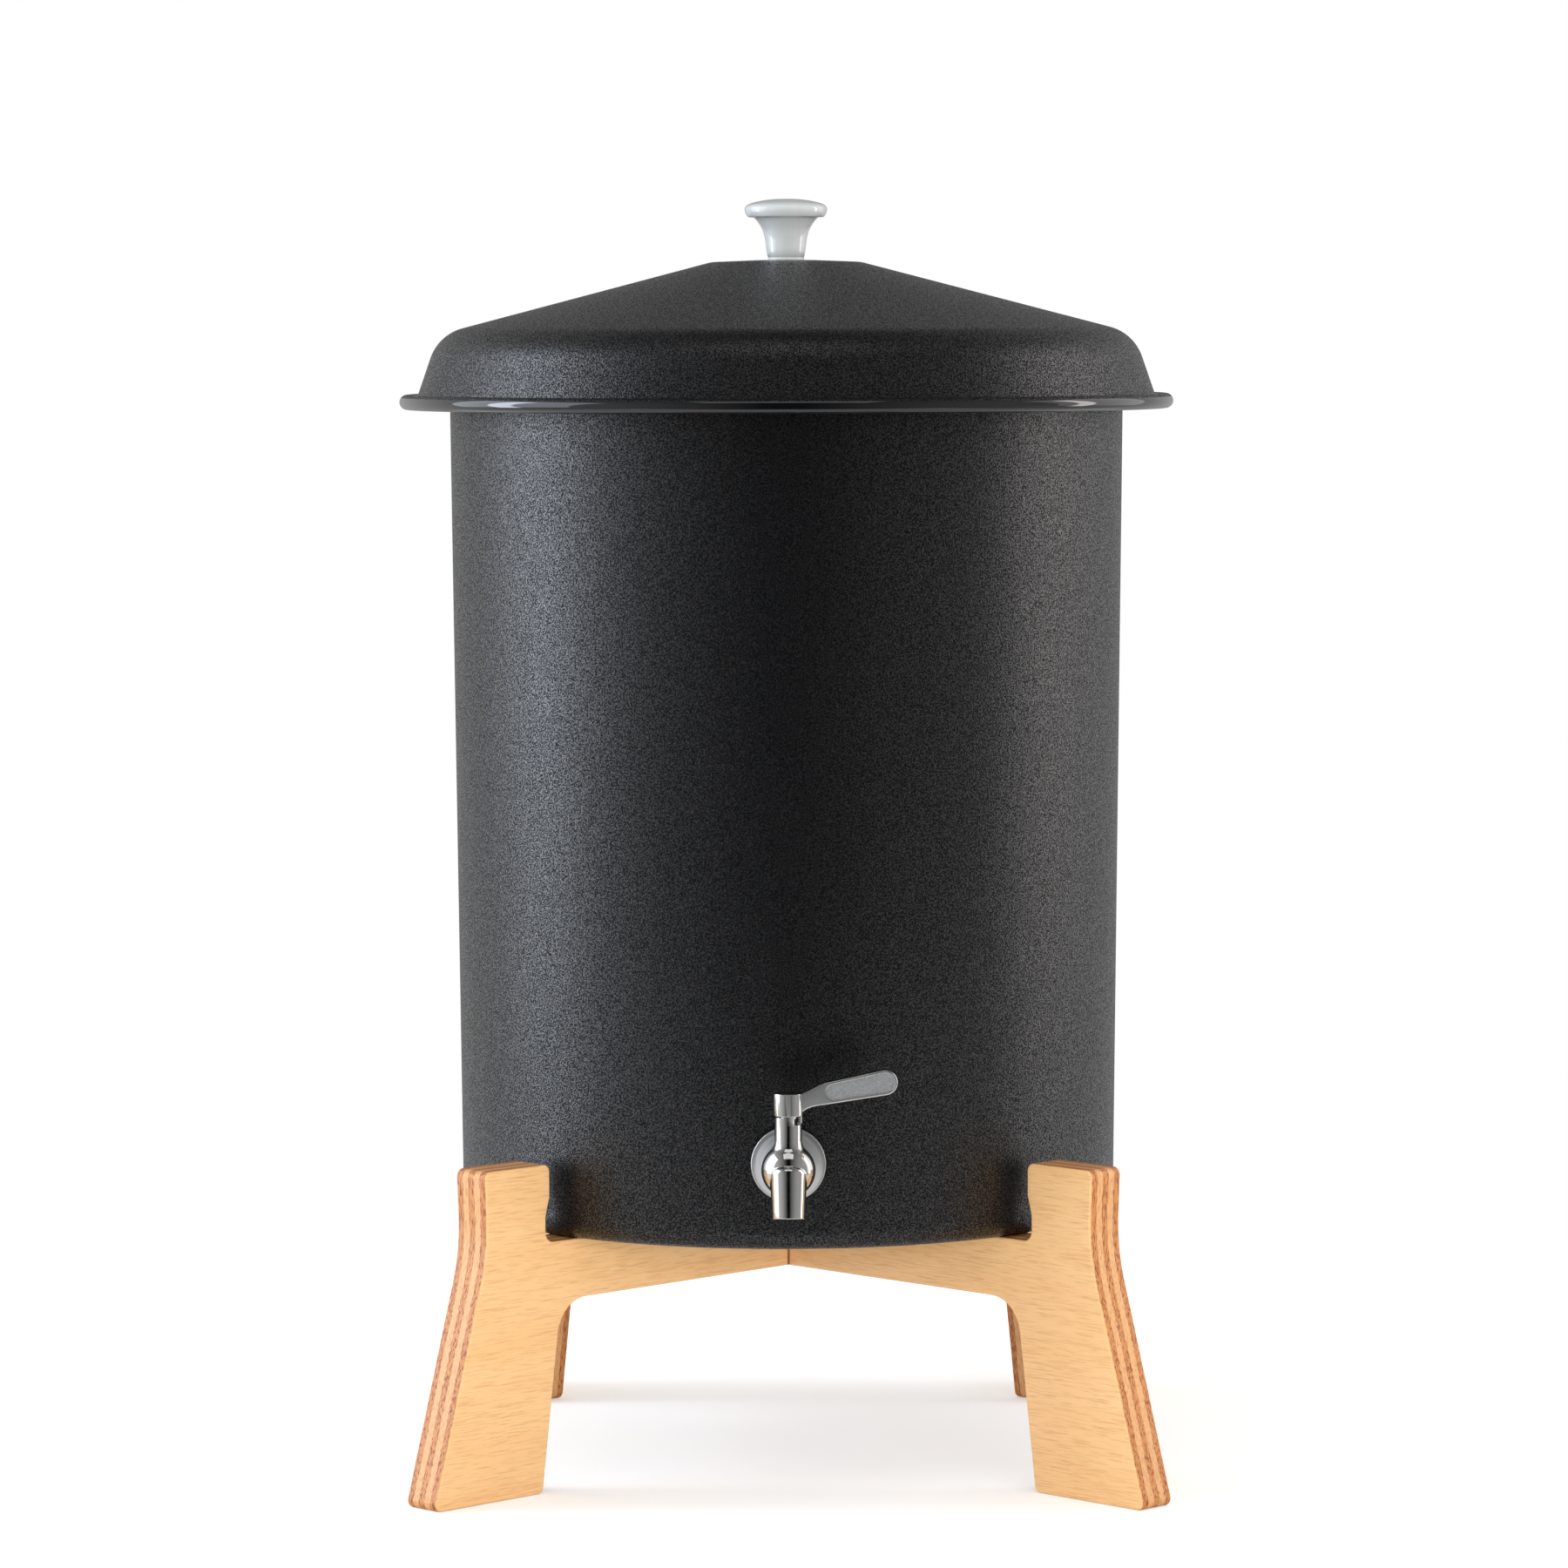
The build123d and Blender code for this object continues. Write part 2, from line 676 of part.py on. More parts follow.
with BuildPart() as tap_plug:
    with BuildSketch(Plane.XY.offset(plug_foot)):
        with Locations(tap_axis):
            Circle(plug_radius)
    extrude(amount=notch_floor - plug_foot)
    with BuildSketch(Plane.XY.offset(notch_floor)):
        with Locations(tap_axis):
            Circle(plug_neck_radius)
    extrude(amount=hub_bottom - notch_floor)
    with BuildSketch(Plane.XY.offset(hub_bottom)):
        with Locations(tap_axis):
            Circle(plug_collar_radius)
    extrude(amount=-plug_collar_thickness)
    with BuildSketch(Plane.XY.offset(hub_bottom)):
        with Locations(tap_axis):
            add(neck_section.sketch)
    extrude(amount=hub_height - hub_roof - hub_gap)
    with BuildSketch(Plane.XY.offset(plug_foot)):
        with Locations(tap_axis):
            Circle(plug_port_radius)
    extrude(amount=port_top - plug_foot, mode=Mode.SUBTRACT)
    port_origin = (tap_axis[0], tap_axis[1], tap_height)
    with BuildSketch(Plane(port_origin, x_dir=(0, 0, 1), z_dir=port_way)):
        Circle(plug_port_radius)
    extrude(amount=2 * plug_radius, mode=Mode.SUBTRACT)
    for ring_rise in o_ring_heights:
        with BuildSketch(Plane.XY.offset(tap_height + ring_rise)):
            with Locations(tap_axis):
                Circle(2 * plug_radius)
                Circle(o_ring_reach - o_ring_section, mode=Mode.SUBTRACT)
        extrude(amount=groove_play * o_ring_section, both=True, mode=Mode.SUBTRACT)
    with BuildSketch(Plane.XY.offset(retaining_centre)):
        with Locations(tap_axis):
            Circle(2 * plug_radius)
            Circle(plug_radius - retaining_groove_depth, mode=Mode.SUBTRACT)
    extrude(amount=groove_play * retaining_screw_radius, both=True, mode=Mode.SUBTRACT)
finish(tap_plug.part, "tap_plug")

with BuildPart() as stem_seals:
    for ring_rise in o_ring_heights:
        with BuildSketch(Plane.XZ.offset(tap_reach)):
            with Locations((o_ring_reach, tap_height + ring_rise)):
                Circle(o_ring_section)
    revolve(axis=Axis(tap_axis, (0, 0, 1)))
finish(stem_seals.part, "stem_seals")

with BuildPart() as seat_washer:
    with BuildSketch(Plane.XY.offset(seat_floor)):
        with Locations(tap_axis):
            Circle(plug_radius)
            Circle(plug_port_radius, mode=Mode.SUBTRACT)
    extrude(amount=seat_washer_thickness)
finish(seat_washer.part, "seat_washer")

with BuildPart() as stem_retaining_screw:
    with BuildSketch(Plane.XZ.offset(tap_reach - barrel_radius + screw_sink)):
        with Locations((0, retaining_centre)):
            Circle(retaining_screw_radius)
    extrude(amount=barrel_radius - screw_sink - plug_radius + retaining_bite)
finish(stem_retaining_screw.part, "stem_retaining_screw")

# ---------------------------------------------------------------- lever
# A polished casting: a round hub over the barrel and an upright paddle with a raised rim.
lever_rise = tan(radians(lever_angle))
paddle_root = (paddle_root_reach, hub_top)
paddle_tip_reach = lever_reach - paddle_tip_radius
paddle_tip = (paddle_tip_reach, hub_top + (paddle_tip_reach - paddle_root_reach) * lever_rise)
recess_root_reach = paddle_root_reach + 2 * paddle_margin
recess_root = (recess_root_reach, hub_top + 2 * paddle_margin * lever_rise)
along = Vector(cos(radians(lever_angle)), sin(radians(lever_angle)))
across = Vector(-along.Y, along.X)
neck_top = Vector(*paddle_root) + across * paddle_root_radius
neck_foot = Vector(*paddle_root) - across * paddle_root_radius
set_screw_centre = hub_bottom + set_screw_rise
stop_pin_place = (
    stop_pin_reach * cos(radians(stop_pin_rest)),
    stop_pin_reach * sin(radians(stop_pin_rest)) - tap_reach,
)
stop_pin_foot = notch_floor + hub_gap

with BuildPart() as tap_lever:
    with BuildSketch(Plane.XZ.offset(tap_reach)):
        with Locations(paddle_root):
            Circle(paddle_root_radius)
        with Locations(paddle_tip):
            Circle(paddle_tip_radius)
        make_hull()
        with BuildLine():
            upper = Spline(
                (arm_upper_start, hub_top - arm_top_drop),
                (arm_crest[0], hub_top + arm_crest[1]),
                neck_top,
                tangents=((1, 0.8), along),
            )
            lower = Spline(
                neck_foot,
                (arm_belly[0], hub_top - arm_belly[1]),
                (arm_lower_end, hub_bottom + arm_foot_rise),
                tangents=(along * -1, (-0.5, -1)),
            )
            Line(neck_top, neck_foot)
            Polyline(
                upper @ 0,
                (0, hub_top - arm_top_drop),
                (0, hub_bottom + arm_foot_rise),
                lower @ 1,
            )
        make_face()
    extrude(amount=lever_thickness / 2, both=True)
    arm_faces = tap_lever.faces().filter_by(Axis.Y)
    fillet(arm_faces.edges().filter_by(lambda e: e.center().X > hub_radius), lever_edge_radius)
    with BuildSketch(Plane.XZ.offset(tap_reach)):
        with BuildLine():
            hub_side = FilletPolyline(
                (0, hub_top),
                (hub_radius, hub_top),
                (hub_radius, hub_bottom),
                (0, hub_bottom),
                radius=(hub_edge_radius, hub_edge_radius),
            )
            Line(hub_side @ 1, hub_side @ 0)
        make_face()
    revolve(axis=Axis(tap_axis, (0, 0, 1)))
    with BuildSketch(Plane.XZ.offset(tap_reach + lever_thickness / 2)):
        with Locations(recess_root):
            Circle(paddle_root_radius - paddle_margin)
        with Locations(paddle_tip):
            Circle(paddle_tip_radius - paddle_margin)
        make_hull()
    extrude(amount=-paddle_recess, mode=Mode.SUBTRACT)
    recess_mouth = tap_lever.edges(Select.LAST).group_by(Axis.Y)[0]
    fillet(recess_mouth, radius=paddle_rim_radius)
    with BuildSketch(Plane.XY.offset(hub_bottom)):
        with Locations(tap_axis):
            add(neck_section.sketch)
    extrude(amount=hub_height - hub_roof, mode=Mode.SUBTRACT)
    with BuildSketch(Plane.XZ.offset(tap_reach - hub_radius)):
        with Locations((0, set_screw_centre)):
            Circle(set_screw_radius)
    extrude(amount=hub_radius, mode=Mode.SUBTRACT)
    with BuildSketch(Plane.XY.offset(stop_pin_foot)):
        with Locations(stop_pin_place):
            Circle(stop_pin_radius)
    extrude(amount=stop_pin_length, mode=Mode.SUBTRACT)
finish(tap_lever.part, "tap_lever")

with BuildPart() as lever_stop_pin:
    with BuildSketch(Plane.XY.offset(stop_pin_foot)):
        with Locations(stop_pin_place):
            Circle(stop_pin_radius)
    extrude(amount=stop_pin_length)
finish(lever_stop_pin.part, "lever_stop_pin")

with BuildPart() as lever_set_screw:
    with BuildSketch(Plane.XZ.offset(tap_reach - hub_radius + screw_sink)):
        with Locations((0, set_screw_centre)):
            Circle(set_screw_radius)
    extrude(amount=hub_radius - screw_sink - plug_neck_flat)
finish(lever_set_screw.part, "lever_set_screw")
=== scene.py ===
import cmath
import json
import math

import bmesh
import bpy
from mathutils import Matrix, Vector


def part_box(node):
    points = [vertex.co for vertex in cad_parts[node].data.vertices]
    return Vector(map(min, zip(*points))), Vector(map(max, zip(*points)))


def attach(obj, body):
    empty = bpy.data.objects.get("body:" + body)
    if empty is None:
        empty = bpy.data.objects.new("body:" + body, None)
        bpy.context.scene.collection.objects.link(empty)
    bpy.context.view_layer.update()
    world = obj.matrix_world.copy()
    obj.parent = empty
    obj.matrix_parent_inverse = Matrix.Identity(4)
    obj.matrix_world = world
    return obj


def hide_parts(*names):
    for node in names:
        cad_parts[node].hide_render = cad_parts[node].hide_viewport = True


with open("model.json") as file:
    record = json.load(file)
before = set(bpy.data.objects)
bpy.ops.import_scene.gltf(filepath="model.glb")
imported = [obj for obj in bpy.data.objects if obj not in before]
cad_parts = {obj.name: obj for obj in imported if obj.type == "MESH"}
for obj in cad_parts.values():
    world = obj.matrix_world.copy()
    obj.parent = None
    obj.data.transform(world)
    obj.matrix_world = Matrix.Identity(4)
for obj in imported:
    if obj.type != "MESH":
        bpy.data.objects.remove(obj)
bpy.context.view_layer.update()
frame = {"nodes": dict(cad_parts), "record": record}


# ------------------------------------------------------------------------------ stand
# Two panels of 20 mm tropical plywood, router-cut and slotted into each other in a halved
# joint. The arrises are rounded over, the faces sanded and clear lacquered, and the cut edges
# show the plies: pale smooth ones between rough reddish ones. Sizes are in millimetres.
MM = 0.001
container_low, container_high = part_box("container_shell")
axis = Vector(
    ((container_low.x + container_high.x) / 2, (container_low.y + container_high.y) / 2, 0)
)
board_thickness = 20.0
face_veneer = "#F7C88E"
veneer_pores = "#CB9158"
veneer_shade = "#EFB878"
pale_ply = "#DDA56C"
red_ply = "#C78346"
core_ply = "#CA8748"
torn_fibres = "#8C4416"
joint_shadow = "#7A4420"
ply_stack = (
    (0.9, pale_ply),
    (3.5, red_ply),
    (3.7, pale_ply),
    (3.8, core_ply),
    (3.7, pale_ply),
    (3.5, red_ply),
    (0.9, pale_ply),
)
pale_ply_tearing = 0.3
saw_raggedness = 1.5
ply_drift = 1.3
arris_start, arris_end = 0.3, 0.7
joint_line_start, joint_line_end = 0.4, 1.1
triangle_weld = 0.002


def linear(hex_colour):
    """Turns an sRGB hex colour into linear RGBA."""
    channels = [int(hex_colour[i : i + 2], 16) / 255 for i in (1, 3, 5)]
    red, green, blue = (
        c / 12.92 if c <= 0.04045 else ((c + 0.055) / 1.055) ** 2.4 for c in channels
    )
    return (red, green, blue, 1)


def fill_sockets(node, sockets):
    """Gives each named socket of a node its value, or a link from another node's output."""
    for socket, value in sockets.items():
        if isinstance(value, bpy.types.NodeSocket):
            node.id_data.links.new(value, node.inputs[socket])
        else:
            node.inputs[socket].default_value = value


def add_node(tree, kind, sockets=None, **settings):
    """Adds a node to a tree, with its settings and its sockets' values and links."""
    node = tree.nodes.new(kind)
    for setting, value in settings.items():
        setattr(node, setting, value)
    fill_sockets(node, sockets or {})
    return node


def start_material(name):
    """A new material, with its node tree and its shader."""
    material = bpy.data.materials.new(name)
    material.use_nodes = True
    return material, material.node_tree, material.node_tree.nodes["Principled BSDF"]


def set_stops(ramp, *stops):
    """Gives a colour ramp its stops, each a place and a colour."""
    elements = ramp.color_ramp.elements
    while len(elements) < len(stops):
        elements.new(1)
    for element, (place, colour) in zip(elements, stops):
        element.position = place
        element.color = colour


def plywood(name, turn, seed):
    """Lacquered plywood, for a panel that is turned about the container's axis."""
    material, tree, surface = start_material(name)
    place = add_node(tree, "ShaderNodeTexCoord").outputs["Object"]
    board = add_node(
        tree,
        "ShaderNodeMapping",
        {"Vector": place, "Location": axis, "Rotation": (0, 0, math.radians(turn))},
        vector_type="TEXTURE",
    ).outputs["Vector"]
    along, across, _ = add_node(tree, "ShaderNodeSeparateXYZ", {"Vector": board}).outputs

    def grain(along_size, across_size, up_size, detail):
        """A pattern stretched to those sizes along, across and up the board."""
        stretched = add_node(
            tree,
            "ShaderNodeMapping",
            {
                "Vector": board,
                "Scale": (1 / (along_size * MM), 1 / (across_size * MM), 1 / (up_size * MM)),
            },
        )
        return add_node(
            tree,
            "ShaderNodeTexNoise",
            {"Vector": stretched.outputs["Vector"], "W": seed, "Scale": 1.0, "Detail": detail},
            noise_dimensions="4D",
        ).outputs["Fac"]

    # The saw leaves the boundary between two plies ragged, and each ply swells and thins.
    ragged = add_node(
        tree,
        "ShaderNodeTexNoise",
        {"Vector": board, "W": seed, "Scale": 1 / (1.5 * MM), "Detail": 2.0},
        noise_dimensions="4D",
    )
    wander = add_node(
        tree,
        "ShaderNodeTexNoise",
        {"Vector": board, "W": seed, "Scale": 1 / (24 * MM), "Detail": 1.0},
        noise_dimensions="4D",
    )
    shifted = across
    for waver, most in ((ragged, saw_raggedness * MM), (wander, ply_drift * MM)):
        offset = add_node(
            tree,
            "ShaderNodeMapRange",
            {"Value": waver.outputs["Fac"], "To Min": -most / 2, "To Max": most / 2},
        )
        shifted = add_node(
            tree, "ShaderNodeMath", {0: shifted, 1: offset.outputs["Result"]}
        ).outputs["Value"]
    depth = add_node(
        tree,
        "ShaderNodeMapRange",
        {
            "Value": shifted,
            "From Min": -board_thickness / 2 * MM,
            "From Max": board_thickness / 2 * MM,
        },
    )
    plies = add_node(tree, "ShaderNodeValToRGB", {"Fac": depth.outputs["Result"]})
    plies.color_ramp.interpolation = "CONSTANT"
    edge = 0.0
    stops = []
    for thickness, colour in ply_stack:
        tearing = pale_ply_tearing if colour == pale_ply else 1.0
        stops.append((edge / board_thickness, linear(colour)[:3] + (tearing,)))
        edge += thickness
    set_stops(plies, *stops)

    # Torn fibres run up the cut edges, 0.6 mm wide and 4 mm long. The darker plies tear more.
    torn = add_node(
        tree,
        "ShaderNodeMapRange",
        {"Value": grain(0.7, 0.6, 4, detail=3.0), "From Min": 0.49, "From Max": 0.6},
    )
    torn = add_node(
        tree,
        "ShaderNodeMath",
        {0: torn.outputs["Result"], 1: plies.outputs["Alpha"]},
        operation="MULTIPLY",
    ).outputs["Value"]
    cut_edge = add_node(
        tree,
        "ShaderNodeMix",
        {"Factor": torn, "A": plies.outputs["Color"], "B": linear(torn_fibres)},
        data_type="RGBA",
    )

    # The face veneer's pores are dashes of 11 mm by 0.5 mm along the panel, over a faint broad
    # figure. Real pores are finer; these are as coarse as they need to be to show.
    pores = add_node(
        tree,
        "ShaderNodeMapRange",
        {
            "Value": grain(11, 4, 0.5, detail=2.0),
            "From Min": 0.48,
            "From Max": 0.75,
            "To Max": 0.65,
        },
    ).outputs["Result"]
    figure = add_node(
        tree,
        "ShaderNodeMapRange",
        {
            "Value": grain(90, 30, 11, detail=3.0),
            "From Min": 0.4,
            "From Max": 0.75,
            "To Max": 0.5,
        },
    ).outputs["Result"]

    # A thin dark line on the face shows where the other panel meets this one.
    from_slot = add_node(tree, "ShaderNodeMath", {0: along}, operation="ABSOLUTE")
    joint_line = add_node(
        tree,
        "ShaderNodeMapRange",
        {
            "Value": from_slot.outputs["Value"],
            "From Min": (board_thickness / 2 + joint_line_end) * MM,
            "From Max": (board_thickness / 2 + joint_line_start) * MM,
            "To Max": 0.8,
        },
    ).outputs["Result"]
    face = linear(face_veneer)
    for share, tone in (
        (figure, veneer_shade),
        (pores, veneer_pores),
        (joint_line, joint_shadow),
    ):
        face = add_node(
            tree,
            "ShaderNodeMix",
            {"Factor": share, "A": face, "B": linear(tone)},
            data_type="RGBA",
        ).outputs["Result"]

    # On the rounded arris the face gives way to the cut edge.
    from_middle = add_node(tree, "ShaderNodeMath", {0: across}, operation="ABSOLUTE")
    on_face = add_node(
        tree,
        "ShaderNodeMapRange",
        {
            "Value": from_middle.outputs["Value"],
            "From Min": (board_thickness / 2 - arris_end) * MM,
            "From Max": (board_thickness / 2 - arris_start) * MM,
        },
    ).outputs["Result"]
    colour = add_node(
        tree,
        "ShaderNodeMix",
        {"Factor": on_face, "A": cut_edge.outputs["Result"], "B": face},
        data_type="RGBA",
    )
    relief = add_node(tree, "ShaderNodeMix", {"Factor": on_face, "A": torn, "B": pores})
    bump = add_node(
        tree,
        "ShaderNodeBump",
        {"Height": relief.outputs["Result"], "Strength": 0.5, "Distance": 0.1 * MM},
        invert=True,
    )
    fill_sockets(
        surface,
        {
            "Base Color": colour.outputs["Result"],
            "Roughness": 0.42,
            "Normal": bump.outputs["Normal"],
        },
    )
    return material


def smoothed(name, node, *materials, crease=30):
    """A copy of a CAD node with its triangles joined and its curves shaded smooth."""
    source = frame["nodes"][node].data
    shape = bmesh.new()
    corners = [shape.verts.new(vertex.co) for vertex in source.vertices]
    for triangle in source.polygons:
        shape.faces.new([corners[i] for i in triangle.vertices]).smooth = True
    bmesh.ops.remove_doubles(shape, verts=shape.verts, dist=triangle_weld * MM)
    mesh = bpy.data.meshes.new(name)
    shape.to_mesh(mesh)
    shape.free()
    mesh.set_sharp_from_angle(angle=math.radians(crease))
    for material in materials:
        mesh.materials.append(material)
    piece = bpy.data.objects.new(name, mesh)
    bpy.context.scene.collection.objects.link(piece)
    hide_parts(node)
    return piece


for name, node, turn, seed in (
    ("stand_panel_slotted_above", "base_panel_a", 45, 1.0),
    ("stand_panel_slotted_below", "base_panel_b", -45, 5.0),
):
    panel = smoothed(name, node, plywood(f"lacquered_plywood_{node[-1]}", turn, seed))
    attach(panel, "stand")


# -------------------------------------------------------------------------- container
# A tapered cylinder pressed from 1.2 mm sheet steel, its rim curled outward round a wire.
# Outside it has a matt, finely grained black enamel that glitters a little where light grazes
# it. Inside, the first coat of enamel was left smooth and glossy.
container_wall = 1.2
container_bottom = container_low.z / MM
container_base_radius = 155.0
container_top_radius = 159.2
container_corner_radius = 9.0
rim_bead_radius = 3.0
rim_height = container_high.z / MM - rim_bead_radius
shank_hole_radius = 8.3
drill_length = 20.0
tap_low, tap_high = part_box("tap_escutcheon")
tap_height = (tap_low.z + tap_high.z) / 2 / MM
enamel_black = "#030304"
# A lighter grey painted on the tops of the grains: painted glints on the black enamel.
painted_glint_grey = "#0B0C0E"
smooth_enamel_dark = "#08090A"
smooth_enamel_pale = "#0E0F11"
seamless = 0.01


def grained_enamel(name, grain):
    """Black textured enamel, with grains of that many millimetres."""
    material, tree, surface = start_material(name)
    place = add_node(tree, "ShaderNodeTexCoord").outputs["Object"]
    grains = add_node(
        tree,
        "ShaderNodeTexNoise",
        {"Vector": place, "Scale": 1 / (grain * MM), "Detail": 1.0, "Roughness": 0.5},
    ).outputs["Fac"]
    # The black is mixed towards that grey on the grains' tops, which paints glints into the
    # colour.
    painted_glint_specks = add_node(
        tree,
        "ShaderNodeMix",
        {"Factor": grains, "A": linear(enamel_black), "B": linear(painted_glint_grey)},
        data_type="RGBA",
    )
    # The grains' tops are glossy and the pits between them are dull and dark.
    glossy_tops = add_node(
        tree, "ShaderNodeMapRange", {"Value": grains, "From Min": 0.44, "From Max": 0.62}
    )
    gloss = add_node(
        tree,
        "ShaderNodeMapRange",
        {"Value": grains, "From Min": 0.35, "From Max": 0.65, "To Min": 0.5, "To Max": 0.35},
    )
    bump = add_node(
        tree, "ShaderNodeBump", {"Height": grains, "Strength": 0.6, "Distance": 0.3 * MM}
    ).outputs["Normal"]
    fill_sockets(
        surface,
        {
            "Base Color": painted_glint_specks.outputs["Result"],
            "Roughness": gloss.outputs["Result"],
            "Specular IOR Level": 0.15,
            "Normal": bump,
            "Coat Weight": glossy_tops.outputs["Result"],
            "Coat Roughness": 0.32,
            "Coat IOR": 1.75,
            "Coat Normal": bump,
        },
    )
    return material


# Enamel grain is about 0.5 mm; it is drawn at 0.62 mm, which is as coarse as it needs to be.
textured_enamel = grained_enamel("textured_black_enamel", 0.62)

# The smooth first coat flows out like glass, with a slight orange peel.
gloss_enamel, tree, surface = start_material("glossy_black_enamel")
place = add_node(tree, "ShaderNodeTexCoord").outputs["Object"]
peel = add_node(
    tree, "ShaderNodeTexNoise", {"Vector": place, "Scale": 1 / (4 * MM), "Detail": 1.0}
)
bump = add_node(
    tree,
    "ShaderNodeBump",
    {"Height": peel.outputs["Fac"], "Strength": 0.12, "Distance": 0.1 * MM},
)
tint = add_node(
    tree,
    "ShaderNodeMix",
    {
        "Factor": peel.outputs["Fac"],
        "A": linear(smooth_enamel_dark),
        "B": linear(smooth_enamel_pale),
    },
    data_type="RGBA",
)
fill_sockets(
    surface,
    {
        "Base Color": tint.outputs["Result"],
        "Roughness": 0.06,
        "Normal": bump.outputs["Normal"],
        "Coat Weight": 0.5,
    },
)


def rounded_line(*corners, arc_step=6.0):
    """Points of a section line. Each corner is a reach, a height and its rounding."""
    places = [complex(reach, height) for reach, height, rounding in corners]
    points = [places[0]]
    for before, here, after, corner in zip(places, places[1:], places[2:], corners[1:]):
        rounding = corner[2]
        if not rounding:
            points.append(here)
            continue
        back = (before - here) / abs(before - here)
        onward = (after - here) / abs(after - here)
        half = abs(cmath.phase(onward / back)) / 2
        middle = (back + onward) / abs(back + onward)
        centre = here + middle * rounding / math.sin(half)
        start = here + back * rounding / math.tan(half) - centre
        end = here + onward * rounding / math.tan(half) - centre
        sweep = cmath.phase(end / start)
        steps = max(2, math.ceil(abs(math.degrees(sweep)) / arc_step))
        points += [centre + start * cmath.rect(1, sweep * i / steps) for i in range(steps + 1)]
    return points + [places[-1]]


def inside_of(line, wall):
    """The line moved to its right by the wall's thickness, or to its left by a negative one."""
    runs = [(b - a) / abs(b - a) for a, b in zip(line, line[1:])]
    sides = [(a + b) * -1j for a, b in zip([runs[0]] + runs, runs + [runs[-1]])]
    return [point + side * wall * 2 / abs(side) ** 2 for point, side in zip(line, sides)]


def curled_edge(outer, inner, centre, radius, arc_step=8.0):
    """A sheet's section: along its outer face, round the bead on its edge, back inside."""

    def up_to_bead(line):
        points = []
        for point, following in zip(line, line[1:]):
            points.append(point)
            if abs(following - centre) < radius * 1.0001:
                run, reach = following - point, point - centre
                b = (reach * run.conjugate()).real
                c = abs(reach) ** 2 - radius**2
                share = (-b - math.sqrt(max(b * b - abs(run) ** 2 * c, 0))) / abs(run) ** 2
                return points + [point + run * share]
        return points + [line[-1]]

    outer, inner = up_to_bead(outer), up_to_bead(inner)
    start, end = outer[-1] - centre, inner[-1] - centre
    short_way = cmath.phase(end / start)
    sweep = short_way - math.copysign(2 * math.pi, short_way)
    steps = math.ceil(abs(math.degrees(sweep)) / arc_step)
    arc = [centre + start * cmath.rect(1, sweep * i / steps) for i in range(1, steps)]
    return outer + arc + inner[::-1]


# Everything turned or pressed round the container's axis is one section, carried round it.
turned = bpy.data.node_groups.new("Turned form", "GeometryNodeTree")
sockets = {
    label: turned.interface.new_socket(label, in_out=way, socket_type=f"NodeSocket{kind}")
    for label, way, kind in (
        ("Section", "INPUT", "Geometry"),
        ("Steps around", "INPUT", "Int"),
        ("Weld distance", "INPUT", "Float"),
        ("Finish", "INPUT", "Material"),
        ("Form", "OUTPUT", "Geometry"),
    )
}
given = turned.nodes.new("NodeGroupInput").outputs
count = add_node(turned, "GeometryNodeAttributeDomainSize", {"Geometry": given["Section"]})
around = add_node(turned, "ShaderNodeMath", {0: given["Steps around"], 1: 1.0}).outputs["Value"]
grid = add_node(
    turned,
    "GeometryNodeMeshGrid",
    {"Vertices X": count.outputs["Point Count"], "Vertices Y": around},
)
index = add_node(turned, "GeometryNodeInputIndex").outputs["Index"]
row = add_node(turned, "ShaderNodeMath", {0: index, 1: around}, operation="DIVIDE")
row = add_node(turned, "ShaderNodeMath", {0: row.outputs["Value"]}, operation="FLOOR")
step = add_node(turned, "ShaderNodeMath", {0: index, 1: around}, operation="MODULO")
share = add_node(
    turned,
    "ShaderNodeMath",
    {0: step.outputs["Value"], 1: given["Steps around"]},
    operation="DIVIDE",
)
angle = add_node(
    turned, "ShaderNodeMath", {0: share.outputs["Value"], 1: 2 * math.pi}, operation="MULTIPLY"
).outputs["Value"]
position = add_node(turned, "GeometryNodeInputPosition").outputs["Position"]
section_point = add_node(
    turned,
    "GeometryNodeSampleIndex",
    {"Geometry": given["Section"], "Value": position, "Index": row.outputs["Value"]},
    data_type="FLOAT_VECTOR",
)
section_xyz = add_node(
    turned, "ShaderNodeSeparateXYZ", {"Vector": section_point.outputs["Value"]}
).outputs
swung = {}
for letter, wave in (("X", "COSINE"), ("Y", "SINE")):
    part = add_node(turned, "ShaderNodeMath", {0: angle}, operation=wave)
    swung[letter] = add_node(
        turned,
        "ShaderNodeMath",
        {0: part.outputs["Value"], 1: section_xyz["X"]},
        operation="MULTIPLY",
    ).outputs["Value"]
swung["Z"] = section_xyz["Z"]
carried = add_node(turned, "ShaderNodeCombineXYZ", swung)
form = add_node(
    turned,
    "GeometryNodeSetPosition",
    {"Geometry": grid.outputs["Mesh"], "Position": carried.outputs["Vector"]},
)
form = add_node(
    turned,
    "GeometryNodeMergeByDistance",
    {"Geometry": form.outputs["Geometry"], "Distance": given["Weld distance"]},
)
form = add_node(turned, "GeometryNodeSetShadeSmooth", {"Geometry": form.outputs["Geometry"]})
form = add_node(turned, "GeometryNodeRealizeInstances", {"Geometry": form.outputs["Geometry"]})
form = add_node(
    turned,
    "GeometryNodeSetMaterial",
    {"Geometry": form.outputs["Geometry"], "Material": given["Finish"]},
)
add_node(turned, "NodeGroupOutput", {"Form": form.outputs["Geometry"]})


def settle(piece):
    """Turns what a piece's modifiers make into its own plain mesh."""
    bpy.context.view_layer.update()
    made = piece.evaluated_get(bpy.context.evaluated_depsgraph_get())
    mesh = bpy.data.meshes.new_from_object(made)
    piece.modifiers.clear()
    piece.data = mesh


